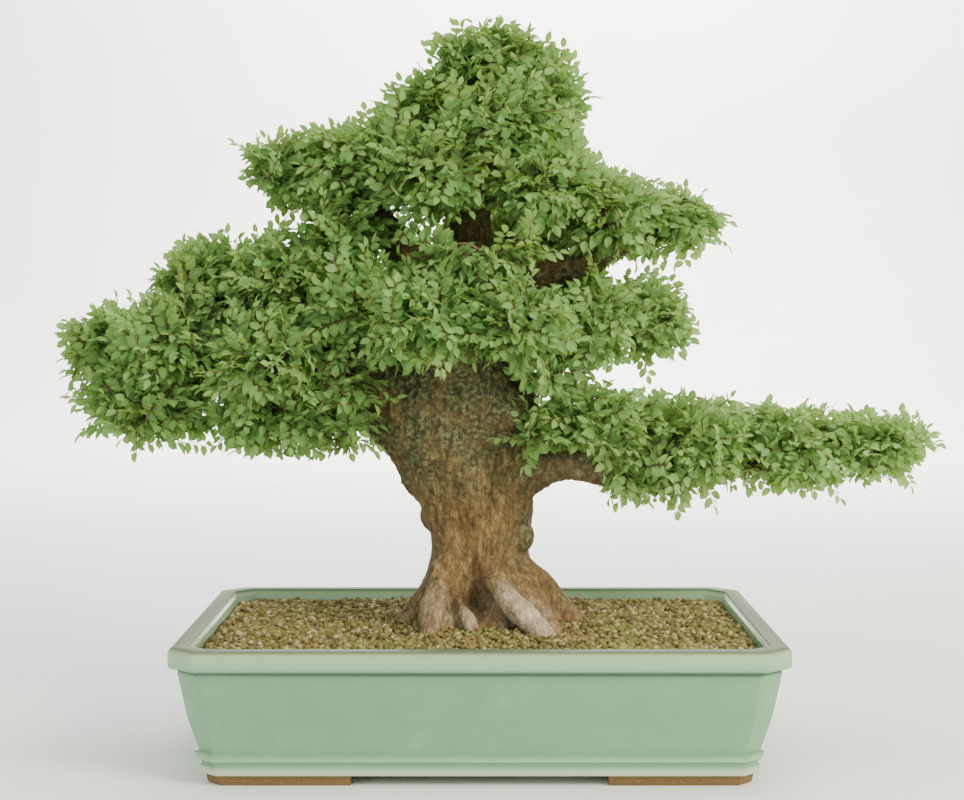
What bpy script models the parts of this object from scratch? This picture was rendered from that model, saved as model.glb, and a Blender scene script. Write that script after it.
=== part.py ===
"""Elm bonsai, informal style, in a rectangular celadon pot with cut corners.

The tree is one grown solid: surface roots, a short thick trunk and the limbs and twigs that
it carries. Each leaf head is a small dense core with flat elm shoots standing out of it, and
sits on the twig that feeds it. Metres, +Z up, +X to the tree's long low branch on the right,
-Y towards the front of the pot. The feet stand on Z = 0.
"""

import math
import random

import bmesh
import bpy
from mathutils import Matrix, Vector
from mathutils.bvhtree import BVHTree
from mathutils.kdtree import KDTree

# Pot, as outside sizes over the lip
POT_LENGTH = 0.500
POT_WIDTH = 0.360
POT_HEIGHT = 0.1135
FOOT_HEIGHT = 0.0085
CORNER_CUT = 0.022
RIM_BAND = 0.0165
FLOOR_TOP = 0.0195
CAVITY_FLOOR_INSET = 0.036
FOOT_BAND = 0.024
FOOT_GAP_LENGTH = 0.208
FOOT_GAP_WIDTH = 0.130
DRAIN_HOLE_RADIUS = 0.0125
DRAIN_HOLE_X = 0.115
POT_CENTRE_X = -0.0191   # puts the origin under the middle of the whole spread

# Running clearance between pieces that touch
GAP = 0.0003
CUT_GAP = 0.00045        # used on faceted round pieces, whose flats lie closer
CLOSEST = 0.0000015      # nearest that two points of a surface may lie unless joined

# Drainage screens
SCREEN_SIDE = 0.038
SCREEN_THICKNESS = 0.0012
SCREEN_BAR = 0.0030
SCREEN_HOLES = 2

# Soil
SOIL_EDGE_DROP = 0.0105  # below the rim, beside the walls
SOIL_MOUND = 0.0125      # rise towards the trunk
SOIL_MOUND_SPREAD = 0.105
GRAIN_RELIEF = 0.0016
SOIL_CELLS_X = 26
SOIL_CELLS_Y = 18
ROOT_PLUG_RADIUS = 0.036
ROOT_PLUG_DEPTH = 0.050

# Trunk, from the soil to the swollen head: height, centre X, centre Y, half width, half depth
TRUNK_SIDES = 15
TRUNK_LEVELS = [
    (0.100, 0.007, 0.000, 0.058, 0.056),
    (0.122, 0.006, 0.000, 0.056, 0.054),
    (0.140, 0.004, 0.000, 0.051, 0.050),
    (0.157, 0.001, 0.000, 0.045, 0.045),
    (0.174, -0.001, 0.000, 0.042, 0.043),
    (0.194, -0.002, 0.000, 0.045, 0.044),
    (0.214, -0.005, 0.000, 0.050, 0.046),
    (0.234, -0.010, 0.000, 0.056, 0.049),
    (0.256, -0.014, 0.000, 0.063, 0.053),
    (0.282, -0.017, 0.000, 0.067, 0.056),
    (0.308, -0.017, 0.000, 0.066, 0.055),
    (0.330, -0.015, 0.000, 0.060, 0.050),
    (0.350, -0.012, 0.000, 0.050, 0.043),
]
FLUTES = 5
FLUTE_DEPTH = 0.055      # share of the radius

# Surface roots: heading in degrees (0 is +X, -90 is the front), reach, starting radius
ROOTS = [
    (-46, 0.086, 0.0150),
    (-78, 0.064, 0.0095),
    (-122, 0.074, 0.0150),
    (-170, 0.084, 0.0145),
    (142, 0.088, 0.0150),
    (98, 0.082, 0.0130),
    (48, 0.088, 0.0145),
    (-8, 0.088, 0.0150),
]
ROOT_TOP = 0.150

# Old cut scars and burrs on the trunk: centre and radius
BURRS = [
    ((0.032, -0.012, 0.186), 0.0160),
    ((-0.036, -0.029, 0.262), 0.0240),
    ((0.026, -0.034, 0.296), 0.0240),
    ((0.014, 0.034, 0.238), 0.0220),
]

# Limbs: points along each, with the radius there, from inside the trunk to the tip
LIMBS = {
    "leader": [
        (-0.014, 0.000, 0.315, 0.046), (-0.010, 0.000, 0.352, 0.040),
        (-0.006, 0.002, 0.398, 0.031), (-0.012, 0.004, 0.450, 0.023),
        (-0.003, 0.002, 0.502, 0.016), (0.006, 0.000, 0.545, 0.010),
        (0.014, 0.000, 0.580, 0.0055),
    ],
    "left": [
        (-0.020, -0.004, 0.250, 0.044), (-0.056, -0.007, 0.290, 0.042),
        (-0.096, -0.010, 0.322, 0.030), (-0.150, -0.012, 0.340, 0.020),
        (-0.205, -0.008, 0.338, 0.014), (-0.262, -0.003, 0.334, 0.009),
        (-0.316, 0.000, 0.338, 0.005),
    ],
    "low_right": [
        (0.008, -0.008, 0.226, 0.026), (0.042, -0.012, 0.238, 0.020),
        (0.075, -0.014, 0.243, 0.0160), (0.115, -0.014, 0.241, 0.0130),
        (0.170, -0.012, 0.240, 0.0105), (0.230, -0.008, 0.244, 0.0080),
        (0.292, -0.004, 0.250, 0.0058), (0.345, 0.000, 0.258, 0.0038),
    ],
    "upper_left": [
        (-0.010, 0.000, 0.385, 0.026), (-0.046, -0.006, 0.418, 0.019),
        (-0.080, -0.010, 0.452, 0.014), (-0.112, -0.010, 0.482, 0.010),
        (-0.165, -0.005, 0.496, 0.0050),
    ],
    "upper_right": [
        (-0.006, 0.002, 0.396, 0.025), (0.042, 0.002, 0.412, 0.017),
        (0.085, -0.002, 0.424, 0.013), (0.125, -0.002, 0.440, 0.009),
        (0.170, 0.000, 0.452, 0.0045),
    ],
    "middle_right": [
        (0.000, -0.010, 0.335, 0.028), (0.045, -0.020, 0.349, 0.018),
        (0.085, -0.024, 0.356, 0.012), (0.142, -0.020, 0.364, 0.0045),
    ],
    "left_top": [
        (-0.085, -0.012, 0.318, 0.020), (-0.110, -0.020, 0.352, 0.015),
        (-0.145, -0.024, 0.384, 0.011), (-0.222, -0.010, 0.398, 0.0045),
    ],
    "left_front": [
        (-0.105, -0.012, 0.318, 0.018), (-0.132, -0.036, 0.312, 0.011),
        (-0.170, -0.044, 0.308, 0.007), (-0.200, -0.036, 0.302, 0.0040),
    ],
    "left_back": [
        (-0.096, -0.002, 0.320, 0.019), (-0.126, 0.032, 0.324, 0.013),
        (-0.172, 0.048, 0.324, 0.009), (-0.250, 0.046, 0.328, 0.0045),
    ],
    "front": [
        (-0.012, -0.018, 0.322, 0.027), (-0.014, -0.056, 0.350, 0.017),
        (-0.006, -0.086, 0.368, 0.0085), (0.004, -0.098, 0.374, 0.0045),
    ],
    "back": [
        (-0.012, 0.018, 0.326, 0.030), (-0.014, 0.060, 0.352, 0.018),
        (-0.022, 0.092, 0.376, 0.011), (-0.038, 0.110, 0.392, 0.0050),
    ],
    "back_right": [
        (-0.006, 0.010, 0.400, 0.021), (0.020, 0.048, 0.425, 0.013),
        (0.040, 0.086, 0.444, 0.0055),
    ],
}

# Leaf heads: the reach of the leaves as a centre and half sizes
LEAF_HEADS = {
    "apex_top": ((0.012, 0.000, 0.598), (0.054, 0.048, 0.042)),
    "apex_left": ((-0.038, 0.004, 0.552), (0.046, 0.046, 0.040)),
    "apex_right": ((0.058, 0.002, 0.556), (0.040, 0.044, 0.044)),
    "apex_front": ((0.012, -0.052, 0.536), (0.050, 0.036, 0.042)),
    "apex_back": ((0.008, 0.056, 0.532), (0.054, 0.040, 0.046)),
    "upper_left_tip": ((-0.176, -0.004, 0.507), (0.042, 0.042, 0.034)),
    "upper_left_front": ((-0.110, -0.032, 0.514), (0.048, 0.040, 0.036)),
    "upper_left_back": ((-0.100, 0.044, 0.512), (0.054, 0.044, 0.038)),
    "upper_left_inner": ((-0.040, -0.064, 0.494), (0.050, 0.036, 0.040)),
    "left_shoulder": ((-0.116, -0.034, 0.450), (0.040, 0.036, 0.032)),
    "upper_right_inner": ((0.052, -0.060, 0.490), (0.046, 0.036, 0.038)),
    "upper_right_front": ((0.112, -0.034, 0.470), (0.046, 0.040, 0.036)),
    "upper_right_back": ((0.112, 0.046, 0.470), (0.052, 0.044, 0.038)),
    "upper_right_tip": ((0.180, -0.002, 0.462), (0.042, 0.040, 0.032)),
    "left_top_tip": ((-0.236, -0.010, 0.410), (0.050, 0.044, 0.036)),
    "left_top_front": ((-0.170, -0.050, 0.408), (0.050, 0.038, 0.038)),
    "left_top_inner": ((-0.102, -0.072, 0.392), (0.046, 0.038, 0.036)),
    "left_top_back": ((-0.176, 0.050, 0.404), (0.056, 0.044, 0.038)),
    "left_far_tip": ((-0.3255, 0.000, 0.350), (0.044, 0.042, 0.038)),
    "left_far_low": ((-0.284, -0.034, 0.304), (0.058, 0.040, 0.036)),
    "left_far_front": ((-0.262, -0.050, 0.356), (0.050, 0.040, 0.038)),
    "left_far_back": ((-0.270, 0.054, 0.338), (0.054, 0.044, 0.040)),
    "left_near_low": ((-0.176, -0.046, 0.298), (0.060, 0.042, 0.039)),
    "left_near_front": ((-0.176, -0.086, 0.342), (0.052, 0.038, 0.040)),
    "left_near_back": ((-0.166, 0.066, 0.312), (0.056, 0.044, 0.038)),
    "centre_front_left": ((-0.046, -0.106, 0.376), (0.046, 0.038, 0.036)),
    "centre_front_right": ((0.034, -0.104, 0.374), (0.046, 0.038, 0.036)),
    "centre_front_high": ((0.000, -0.080, 0.432), (0.054, 0.038, 0.034)),
    "middle_right_tip": ((0.148, -0.022, 0.374), (0.042, 0.040, 0.034)),
    "middle_right_front": ((0.094, -0.062, 0.374), (0.044, 0.038, 0.038)),
    "middle_right_back": ((0.098, 0.048, 0.376), (0.050, 0.042, 0.038)),
    "low_right_inner": ((0.096, -0.048, 0.284), (0.052, 0.040, 0.036)),
    "low_right_middle": ((0.180, -0.032, 0.268), (0.056, 0.044, 0.040)),
    "low_right_outer": ((0.270, -0.010, 0.267), (0.056, 0.044, 0.040)),
    "low_right_tip": ((0.350, 0.000, 0.266), (0.048, 0.040, 0.034)),
    "low_right_back": ((0.188, 0.046, 0.272), (0.058, 0.040, 0.037)),
    "back_high": ((0.052, 0.112, 0.452), (0.056, 0.044, 0.040)),
    "back_middle": ((-0.050, 0.124, 0.400), (0.056, 0.042, 0.040)),
    "back_low": ((0.034, 0.120, 0.364), (0.052, 0.042, 0.038)),
}
CROWN_LEFT = -0.372      # no leaf stands out past these, measured from the pot's centre
CROWN_RIGHT = 0.411
CROWN_DEPTH = 0.178
CROWN_TOP = 0.640
CORE_DIP = 0.54          # share of the reach that the core's hollows come to
CORE_TIP = 1.02          # and its leafy points
CORE_JITTER = 0.12
HEAD_MARGIN = 0.0008     # from a core to the plane it shares with its neighbour
OPEN_SHARE = 0.85        # of the reach that must be free where a shoot grows
TWIG_RADIUS = 0.0030
HELD_BY_LIMB = 0.016     # a limb that comes this near a head's middle needs no twig
MOST_SHOOTS = 2
FEW_OPEN = 12            # open directions, of 30, up to which a head has one shoot
SEED = 5

# One elm shoot: leaflets in two rows along a thin rib
LEAFLET_LENGTH = 0.0225
LEAFLET_WIDTH = 0.0135
LEAFLET_PITCH = 0.0078
LEAFLETS_PER_SHOOT = 3   # in the two rows, before the one at the tip
LEAFLET_ANGLE = math.radians(52)
RIB_HALF_WIDTH = 0.0011
BARE_RIB = 0.0100
BLADE_THICKNESS = 0.0009
ROOT_SINK = 0.0080

COLOURS = {
    "celadon_glaze": ((0.34, 0.45, 0.33), 0.25),
    "soil_granules": ((0.30, 0.23, 0.11), 0.95),
    "elm_bark": ((0.20, 0.14, 0.075), 0.90),
    "elm_leaf": ((0.13, 0.22, 0.045), 0.60),
    "screen_plastic": ((0.03, 0.03, 0.03), 0.50),
}


def clear_scene():
    for old in list(bpy.data.objects):
        bpy.data.objects.remove(old)


def make_material(name):
    colour, roughness = COLOURS[name]
    material = bpy.data.materials.new(name)
    material.use_nodes = True
    shader = material.node_tree.nodes["Principled BSDF"]
    shader.inputs["Base Color"].default_value = (*colour, 1.0)
    shader.inputs["Roughness"].default_value = roughness
    return material


def new_object(name, mesh, collection):
    made = bpy.data.objects.new(name, mesh)
    collection.objects.link(made)
    return made


def object_from_bmesh(bm, name, collection):
    bmesh.ops.recalc_face_normals(bm, faces=bm.faces)
    mesh = bpy.data.meshes.new(name)
    bm.to_mesh(mesh)
    bm.free()
    return new_object(name, mesh, collection)


def boolean(target, other, operation, solver="MANIFOLD"):
    """Joins or cuts target by an object or a whole collection, and applies it."""
    modifier = target.modifiers.new(operation.lower(), "BOOLEAN")
    modifier.operation = operation
    modifier.solver = solver
    if isinstance(other, bpy.types.Collection):
        modifier.operand_type = "COLLECTION"
        modifier.collection = other
    else:
        modifier.object = other
    graph = bpy.context.evaluated_depsgraph_get()
    mesh = bpy.data.meshes.new_from_object(target.evaluated_get(graph))
    target.modifiers.clear()
    target.data = mesh


def discard(*things):
    for thing in things:
        if isinstance(thing, bpy.types.Collection):
            discard(*list(thing.objects))
            bpy.data.collections.remove(thing)
        else:
            bpy.data.objects.remove(thing)


def keep_largest_body(target):
    """Drops loose scraps that a cut has left beside the main body."""
    bm = bmesh.new()
    bm.from_mesh(target.data)
    unseen = set(bm.verts)
    bodies = []
    while unseen:
        front = [unseen.pop()]
        body = list(front)
        while front:
            vert = front.pop()
            near = [edge.other_vert(vert) for edge in vert.link_edges]
            fresh = [other for other in near if other in unseen]
            unseen.difference_update(fresh)
            front.extend(fresh)
            body.extend(fresh)
        bodies.append(body)
    bodies.sort(key=len)
    for scrap in bodies[:-1]:
        bmesh.ops.delete(bm, geom=scrap, context="VERTS")
    bm.to_mesh(target.data)
    bm.free()


def smooth_route(knots, steps):
    """Catmull-Rom points through (x, y, z, radius) knots, steps to each stretch."""
    ends = [knots[0], *knots, knots[-1]]
    route = []
    for i in range(len(knots) - 1):
        a, b, c, d = (Vector(k) for k in ends[i:i + 4])
        for step in range(steps):
            t = step / steps
            route.append(0.5 * (2 * b + (c - a) * t + (2 * a - 5 * b + 4 * c - d) * t * t
                                + (3 * b - a - 3 * c + d) * t * t * t))
    route.append(Vector(knots[-1]))
    return route


def tube(name, route, collection, sides=8, grow=0.0):
    """A tapered limb along route, as a closed mesh. grow fattens it on every side."""
    curve = bpy.data.curves.new(name, "CURVE")
    curve.dimensions = "3D"
    curve.bevel_depth = 1.0
    curve.bevel_resolution = (sides - 4) // 2
    curve.use_fill_caps = True
    spline = curve.splines.new("POLY")
    spline.points.add(len(route) - 1)
    last = len(route) - 1
    for i, knot in enumerate(route):
        place = Vector(knot[:3])
        if grow and i in (0, last):
            inner = Vector(route[1 if i == 0 else last - 1][:3])
            place += (place - inner).normalized() * grow
        spline.points[i].co = (*place, 1.0)
        spline.points[i].radius = knot[3] + grow
    guide = new_object(name + "_guide", curve, collection)
    graph = bpy.context.evaluated_depsgraph_get()
    mesh = bpy.data.meshes.new_from_object(guide.evaluated_get(graph))
    discard(guide)
    bm = bmesh.new()
    bm.from_mesh(mesh)
    bmesh.ops.remove_doubles(bm, verts=bm.verts, dist=0.00001)
    return object_from_bmesh(bm, name, collection)


def cut_corner_outline(half_x, half_y, cut):
    """Eight corners of a rectangle whose corners are cut at 45 degrees, anticlockwise."""
    quarter = [(half_x, half_y - cut), (half_x - cut, half_y)]
    top = quarter + [(-x, y) for x, y in reversed(quarter)]
    return top + [(-x, -y) for x, y in top]


def moulded_block(name, levels, collection):
    """A closed block with one cut-corner outline for each (height, inset) level."""
    bm = bmesh.new()
    cap = None
    for height, inset in levels:
        cut = CORNER_CUT - 0.35 * inset
        outline = cut_corner_outline(POT_LENGTH / 2 - inset, POT_WIDTH / 2 - inset, cut)
        if cap is None:
            cap = bm.faces.new([bm.verts.new((x, y, height)) for x, y in outline])
        else:
            grown = bmesh.ops.extrude_face_region(bm, geom=[cap, *cap.edges])["geom"]
            cap = next(item for item in grown if isinstance(item, bmesh.types.BMFace))
            for vert, (x, y) in zip(cap.verts, outline):
                vert.co = (x, y, height)
    return object_from_bmesh(bm, name, collection)


def box_cutter(name, centre, size, collection):
    bm = bmesh.new()
    bmesh.ops.create_cube(bm, size=1.0, matrix=Matrix.Translation(centre)
                          @ Matrix.Diagonal((*size, 1.0)))
    return object_from_bmesh(bm, name, collection)


def round_cutter(name, centre, radius, depth, sides, collection):
    bm = bmesh.new()
    bmesh.ops.create_cone(bm, cap_ends=True, segments=sides, radius1=radius, radius2=radius,
                          depth=depth, matrix=Matrix.Translation(centre))
    return object_from_bmesh(bm, name, collection)


def make_pot(parts, cutters):
    """Lip, groove, gently bowed panels and a moulded base on four corner feet."""
    outside = [
        (0.0000, 0.0300), (0.0015, 0.0290), (FOOT_HEIGHT, 0.0275),
        (FOOT_HEIGHT + 0.0005, 0.0240), (0.0160, 0.0225), (0.0172, 0.0245),
        (0.0192, 0.0240), (0.0204, 0.0215), (0.0268, 0.0195), (0.0285, 0.0225),
        (0.0560, 0.0140), (0.0925, 0.0070), (0.0950, 0.0078), (0.0966, 0.0012),
        (0.0985, 0.0000), (0.1105, 0.0000), (POT_HEIGHT, 0.0030),
    ]
    pot = moulded_block("pot", outside, parts)
    cavity = moulded_block("cavity", [
        (FLOOR_TOP, CAVITY_FLOOR_INSET), (0.0300, CAVITY_FLOOR_INSET - 0.0050),
        (0.1085, RIM_BAND + 0.0015), (POT_HEIGHT - 0.0008, RIM_BAND - 0.0010),
        (POT_HEIGHT + 0.0100, RIM_BAND - 0.0020),
    ], cutters)
    boolean(pot, cavity, "DIFFERENCE")

    inner_x = POT_LENGTH - 2 * (0.0300 + FOOT_BAND)
    inner_y = POT_WIDTH - 2 * (0.0300 + FOOT_BAND)
    beyond = POT_LENGTH
    mid = (FOOT_HEIGHT - 0.010) / 2
    tall = FOOT_HEIGHT + 0.010
    for name, size in (
        ("under_floor", (inner_x, inner_y, tall)),
        ("front_gap", (FOOT_GAP_LENGTH, beyond, tall)),
        ("side_gap", (beyond, FOOT_GAP_WIDTH, tall)),
    ):
        boolean(pot, box_cutter(name, (0, 0, mid), size, cutters), "DIFFERENCE")
    for side in (-1, 1):
        hole = round_cutter("drain_hole", (side * DRAIN_HOLE_X, 0, FLOOR_TOP / 2),
                            DRAIN_HOLE_RADIUS, 0.040, 20, cutters)
        boolean(pot, hole, "DIFFERENCE")
    return pot


def make_screen(name, side, parts):
    """A plastic mesh square lying over one drain hole."""
    cells = 2 * SCREEN_HOLES + 1
    opening = (SCREEN_SIDE - SCREEN_BAR * (SCREEN_HOLES + 1)) / SCREEN_HOLES
    lines = [0.0]
    for cell in range(cells):
        lines.append(lines[-1] + (opening if cell % 2 else SCREEN_BAR))
    bm = bmesh.new()
    bmesh.ops.create_grid(bm, x_segments=cells, y_segments=cells, size=cells / 2)
    holes = []
    for face in bm.faces:
        centre = face.calc_center_median()
        column = int(centre.x + cells / 2)
        row = int(centre.y + cells / 2)
        if column % 2 and row % 2:
            holes.append(face)
    bmesh.ops.delete(bm, geom=holes, context="FACES")
    for vert in bm.verts:
        vert.co.x = lines[round(vert.co.x + cells / 2)] - SCREEN_SIDE / 2
        vert.co.y = lines[round(vert.co.y + cells / 2)] - SCREEN_SIDE / 2
    grown = bmesh.ops.extrude_face_region(bm, geom=list(bm.faces))["geom"]
    lifted = [item for item in grown if isinstance(item, bmesh.types.BMVert)]
    bmesh.ops.translate(bm, verts=lifted, vec=(0, 0, SCREEN_THICKNESS))
    screen = object_from_bmesh(bm, name, parts)
    screen.location = (side * DRAIN_HOLE_X, 0, FLOOR_TOP + GAP)
    return screen


def soil_height(x, y):
    """The smooth surface: level by the walls, rising to the trunk."""
    away = math.hypot(x - TRUNK_LEVELS[0][1], y)
    mound = SOIL_MOUND * math.exp(-(away / SOIL_MOUND_SPREAD) ** 2)
    return POT_HEIGHT - SOIL_EDGE_DROP + mound


def soil_slab(name, lift, collection):
    """A slab whose top is the soil's grainy surface, raised by lift."""
    rng = random.Random(SEED)
    bm = bmesh.new()
    bmesh.ops.create_grid(bm, x_segments=SOIL_CELLS_X, y_segments=SOIL_CELLS_Y, size=0.5)
    step_x = POT_LENGTH / SOIL_CELLS_X
    for vert in bm.verts:
        vert.co.x *= POT_LENGTH
        vert.co.y *= POT_WIDTH
        vert.co.x += rng.uniform(-0.28, 0.28) * step_x
        vert.co.y += rng.uniform(-0.28, 0.28) * step_x
        vert.co.z = soil_height(vert.co.x, vert.co.y) + lift
        vert.co.z += rng.uniform(-GRAIN_RELIEF, GRAIN_RELIEF)
    bmesh.ops.triangulate(bm, faces=bm.faces)
    grown = bmesh.ops.extrude_face_region(bm, geom=list(bm.faces))["geom"]
    for item in grown:
        if isinstance(item, bmesh.types.BMVert):
            item.co.z = 0.0
    return object_from_bmesh(bm, name, collection)


def make_soil(parts, cutters):
    """The granular soil that fills the pot, with a plain hole for the tree's root plug."""
    soil = soil_slab("soil", 0.0, parts)
    room = moulded_block("room", [
        (FLOOR_TOP + GAP, CAVITY_FLOOR_INSET + CUT_GAP),
        (0.0300, CAVITY_FLOOR_INSET - 0.0050 + CUT_GAP),
        (0.1085, RIM_BAND + 0.0015 + CUT_GAP), (POT_HEIGHT + 0.0500, RIM_BAND + CUT_GAP),
    ], cutters)
    boolean(soil, room, "INTERSECT")
    for side in (-1, 1):
        wide = SCREEN_SIDE + 2 * GAP
        pocket = box_cutter("pocket", (side * DRAIN_HOLE_X, 0, FLOOR_TOP),
                            (wide, wide, 2 * (SCREEN_THICKNESS + 2 * GAP)), cutters)
        boolean(soil, pocket, "DIFFERENCE")
    top = POT_HEIGHT + SOIL_MOUND
    hole = round_cutter("plug_hole", (TRUNK_LEVELS[0][1], 0, top - ROOT_PLUG_DEPTH / 2),
                        ROOT_PLUG_RADIUS + CUT_GAP, ROOT_PLUG_DEPTH + 2 * CUT_GAP, 16, cutters)
    boolean(soil, hole, "DIFFERENCE")
    return soil


def trunk_ring(level, grow):
    """Points round the trunk at one level, fluted above and lobed where roots leave it."""
    height, centre_x, centre_y, half_x, half_y = level
    flare = max(0.0, (ROOT_TOP + 0.020 - height) / (ROOT_TOP + 0.020 - TRUNK_LEVELS[0][0]))
    ring = []
    for i in range(TRUNK_SIDES):
        angle = math.tau * i / TRUNK_SIDES
        share = 1 + FLUTE_DEPTH * math.sin(FLUTES * angle + 40 * height)
        for heading, reach, radius in ROOTS:
            turn = math.cos(angle - math.radians(heading))
            share += 0.24 * flare * max(0.0, turn) ** 14 * radius / 0.015
        ring.append((centre_x + (half_x * share + grow) * math.cos(angle),
                     centre_y + (half_y * share + grow) * math.sin(angle), height))
    return ring


def trunk_body(name, collection, grow):
    bm = bmesh.new()
    rings = [trunk_ring(level, grow) for level in TRUNK_LEVELS]
    cap = bm.faces.new([bm.verts.new(point) for point in rings[0]])
    for ring in rings[1:]:
        grown = bmesh.ops.extrude_face_region(bm, geom=[cap, *cap.edges])["geom"]
        cap = next(item for item in grown if isinstance(item, bmesh.types.BMFace))
        for vert, point in zip(cap.verts, ring):
            vert.co = point
    return object_from_bmesh(bm, name, collection)


def root_route(heading, reach, radius):
    """A surface root: down the flare of the trunk, over the soil and into it."""
    centre_x = TRUNK_LEVELS[0][1]
    along = Vector((math.cos(math.radians(heading)), math.sin(math.radians(heading)), 0))
    knots = []
    for away, above, share in ((0.30, 0.046, 0.80), (0.56, 0.022, 1.00),
                               (0.80, 0.003, 0.80), (1.05, -0.010, 0.50)):
        spot = along * reach * away
        ground = soil_height(centre_x + spot.x, spot.y)
        knots.append((centre_x + spot.x, spot.y, ground + above, radius * share))
    return knots


def burr(name, centre, radius, collection, grow):
    bm = bmesh.new()
    bmesh.ops.create_icosphere(bm, subdivisions=2, radius=radius + grow,
                               matrix=Matrix.Translation(centre))
    return object_from_bmesh(bm, name, collection)


def nearest_on_limbs(target):
    """The closest point of any limb's middle line to target, with the radius there."""
    best = None
    for knots in LIMBS.values():
        for knot in smooth_route(knots, 8)[4:-3]:
            distance = (Vector(knot[:3]) - target).length
            if best is None or distance < best[0]:
                best = (distance, knot)
    return best[1]


def twig_route(centre):
    """From the nearest limb up into the middle of a leaf head, or None beside a limb."""
    limb = nearest_on_limbs(centre)
    start = Vector(limb[:3])
    if (start - centre).length < HELD_BY_LIMB + limb[3] / 2:
        return None
    bend = start.lerp(centre, 0.5) - Vector((0, 0, 0.004))
    thick = min(limb[3] * 0.8, TWIG_RADIUS * 1.5)
    return [(*start, thick), (*bend, TWIG_RADIUS * 1.1), (*centre, TWIG_RADIUS * 0.8)]


def make_wood(name, collection, grow=0.0):
    """Roots, trunk, limbs and twigs as one body. grow gives the cutter its clearance."""
    wood = trunk_body(name, collection, grow)
    pieces = bpy.data.collections.new(name + "_pieces")
    bpy.context.scene.collection.children.link(pieces)
    for heading, reach, radius in ROOTS:
        tube("root", root_route(heading, reach, radius), pieces, 6, grow)
    for centre, radius in BURRS:
        burr("burr", centre, radius, pieces, grow)
    for limb, knots in LIMBS.items():
        tube(limb, knots, pieces, 8 if knots[0][3] > 0.030 else 6, grow)
    for centre, half in LEAF_HEADS.values():
        route = twig_route(Vector(centre))
        if route:
            tube("twig", route, pieces, 4, grow)
    boolean(wood, pieces, "UNION")
    discard(pieces)
    return wood


def seat_in_soil(wood, cutters):
    """Trims the roots to the soil's surface and adds the plug that stands in its hole."""
    ground = soil_slab("ground", GAP, cutters)
    boolean(wood, ground, "DIFFERENCE")
    keep_largest_body(wood)
    top = POT_HEIGHT + SOIL_MOUND + 0.012
    depth = ROOT_PLUG_DEPTH + 0.010
    plug = round_cutter("plug", (TRUNK_LEVELS[0][1], 0, top - depth / 2 - 0.002),
                        ROOT_PLUG_RADIUS, depth, 16, cutters)
    boolean(wood, plug, "UNION")
    discard(ground, plug)


def mean_size(half):
    return sum(half) / 3


def cell_planes(name):
    """A (normal, distance) plane between a head and each of the others."""
    centre, half = LEAF_HEADS[name]
    planes = []
    for other, (other_centre, other_half) in LEAF_HEADS.items():
        if other == name:
            continue
        between = Vector(other_centre) - Vector(centre)
        share = mean_size(half) / (mean_size(half) + mean_size(other_half))
        planes.append((between.normalized(), between.length * share - HEAD_MARGIN))
    return planes


def free_reach(planes, direction):
    """How far a head may run in a direction before it meets a neighbour's plane."""
    limits = [distance / direction.dot(normal) for normal, distance in planes
              if direction.dot(normal) > 0.01]
    return min(limits, default=1.0)


def leaf_core(name, planes, rng, collection):
    """The dense inside of a leaf head: a small body with leafy points all round."""
    centre, half = LEAF_HEADS[name]
    bm = bmesh.new()
    bmesh.ops.create_icosphere(bm, subdivisions=1, radius=1.0)
    between_points = list(bm.edges)
    bmesh.ops.poke(bm, faces=bm.faces)
    bmesh.ops.rotate_edges(bm, edges=between_points)
    bmesh.ops.rotate(bm, verts=bm.verts, matrix=Matrix.Rotation(rng.uniform(0, 6), 3, "Z"))
    for vert in bm.verts:
        share = CORE_TIP if len(vert.link_edges) == 5 else CORE_DIP
        share *= 1 + rng.uniform(-CORE_JITTER, CORE_JITTER)
        skew = Vector([rng.uniform(-CORE_JITTER, CORE_JITTER) for axis in range(3)])
        toward = vert.co.normalized() + skew
        reach = Vector([a * b for a, b in zip(toward, half)]) * share
        away = min(reach.length, free_reach(planes, reach.normalized()))
        vert.co = Vector(centre) + reach.normalized() * away
    return object_from_bmesh(bm, "leaves_" + name, collection)


def shoot_outline():
    """One side after the other of a rib with leaflets cut down to it, as (x, y) points."""
    sides = {1: [], -1: []}
    for k in range(LEAFLETS_PER_SHOOT):
        side = 1 if k % 2 else -1
        root = BARE_RIB + k * LEAFLET_PITCH
        length = LEAFLET_LENGTH * (0.86 + 0.06 * k)
        out = Vector((math.sin(LEAFLET_ANGLE), math.cos(LEAFLET_ANGLE)))
        across = Vector((out.y, -out.x)) * LEAFLET_WIDTH / 2
        base = Vector((RIB_HALF_WIDTH, root))
        points = [base, base + out * length * 0.45 + across, base + out * length,
                  base + out * length * 0.55 - across]
        sides[side] += [(side * p.x, p.y) for p in points]
    end = BARE_RIB + LEAFLETS_PER_SHOOT * LEAFLET_PITCH
    sides[1].append((RIB_HALF_WIDTH, end))
    sides[-1].append((-RIB_HALF_WIDTH, end))
    tip = [(LEAFLET_WIDTH / 2, end + LEAFLET_LENGTH * 0.45), (0, end + LEAFLET_LENGTH),
           (-LEAFLET_WIDTH / 2, end + LEAFLET_LENGTH * 0.45)]
    return [(RIB_HALF_WIDTH, 0), *sides[1], *tip, *reversed(sides[-1]), (-RIB_HALF_WIDTH, 0)]


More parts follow.
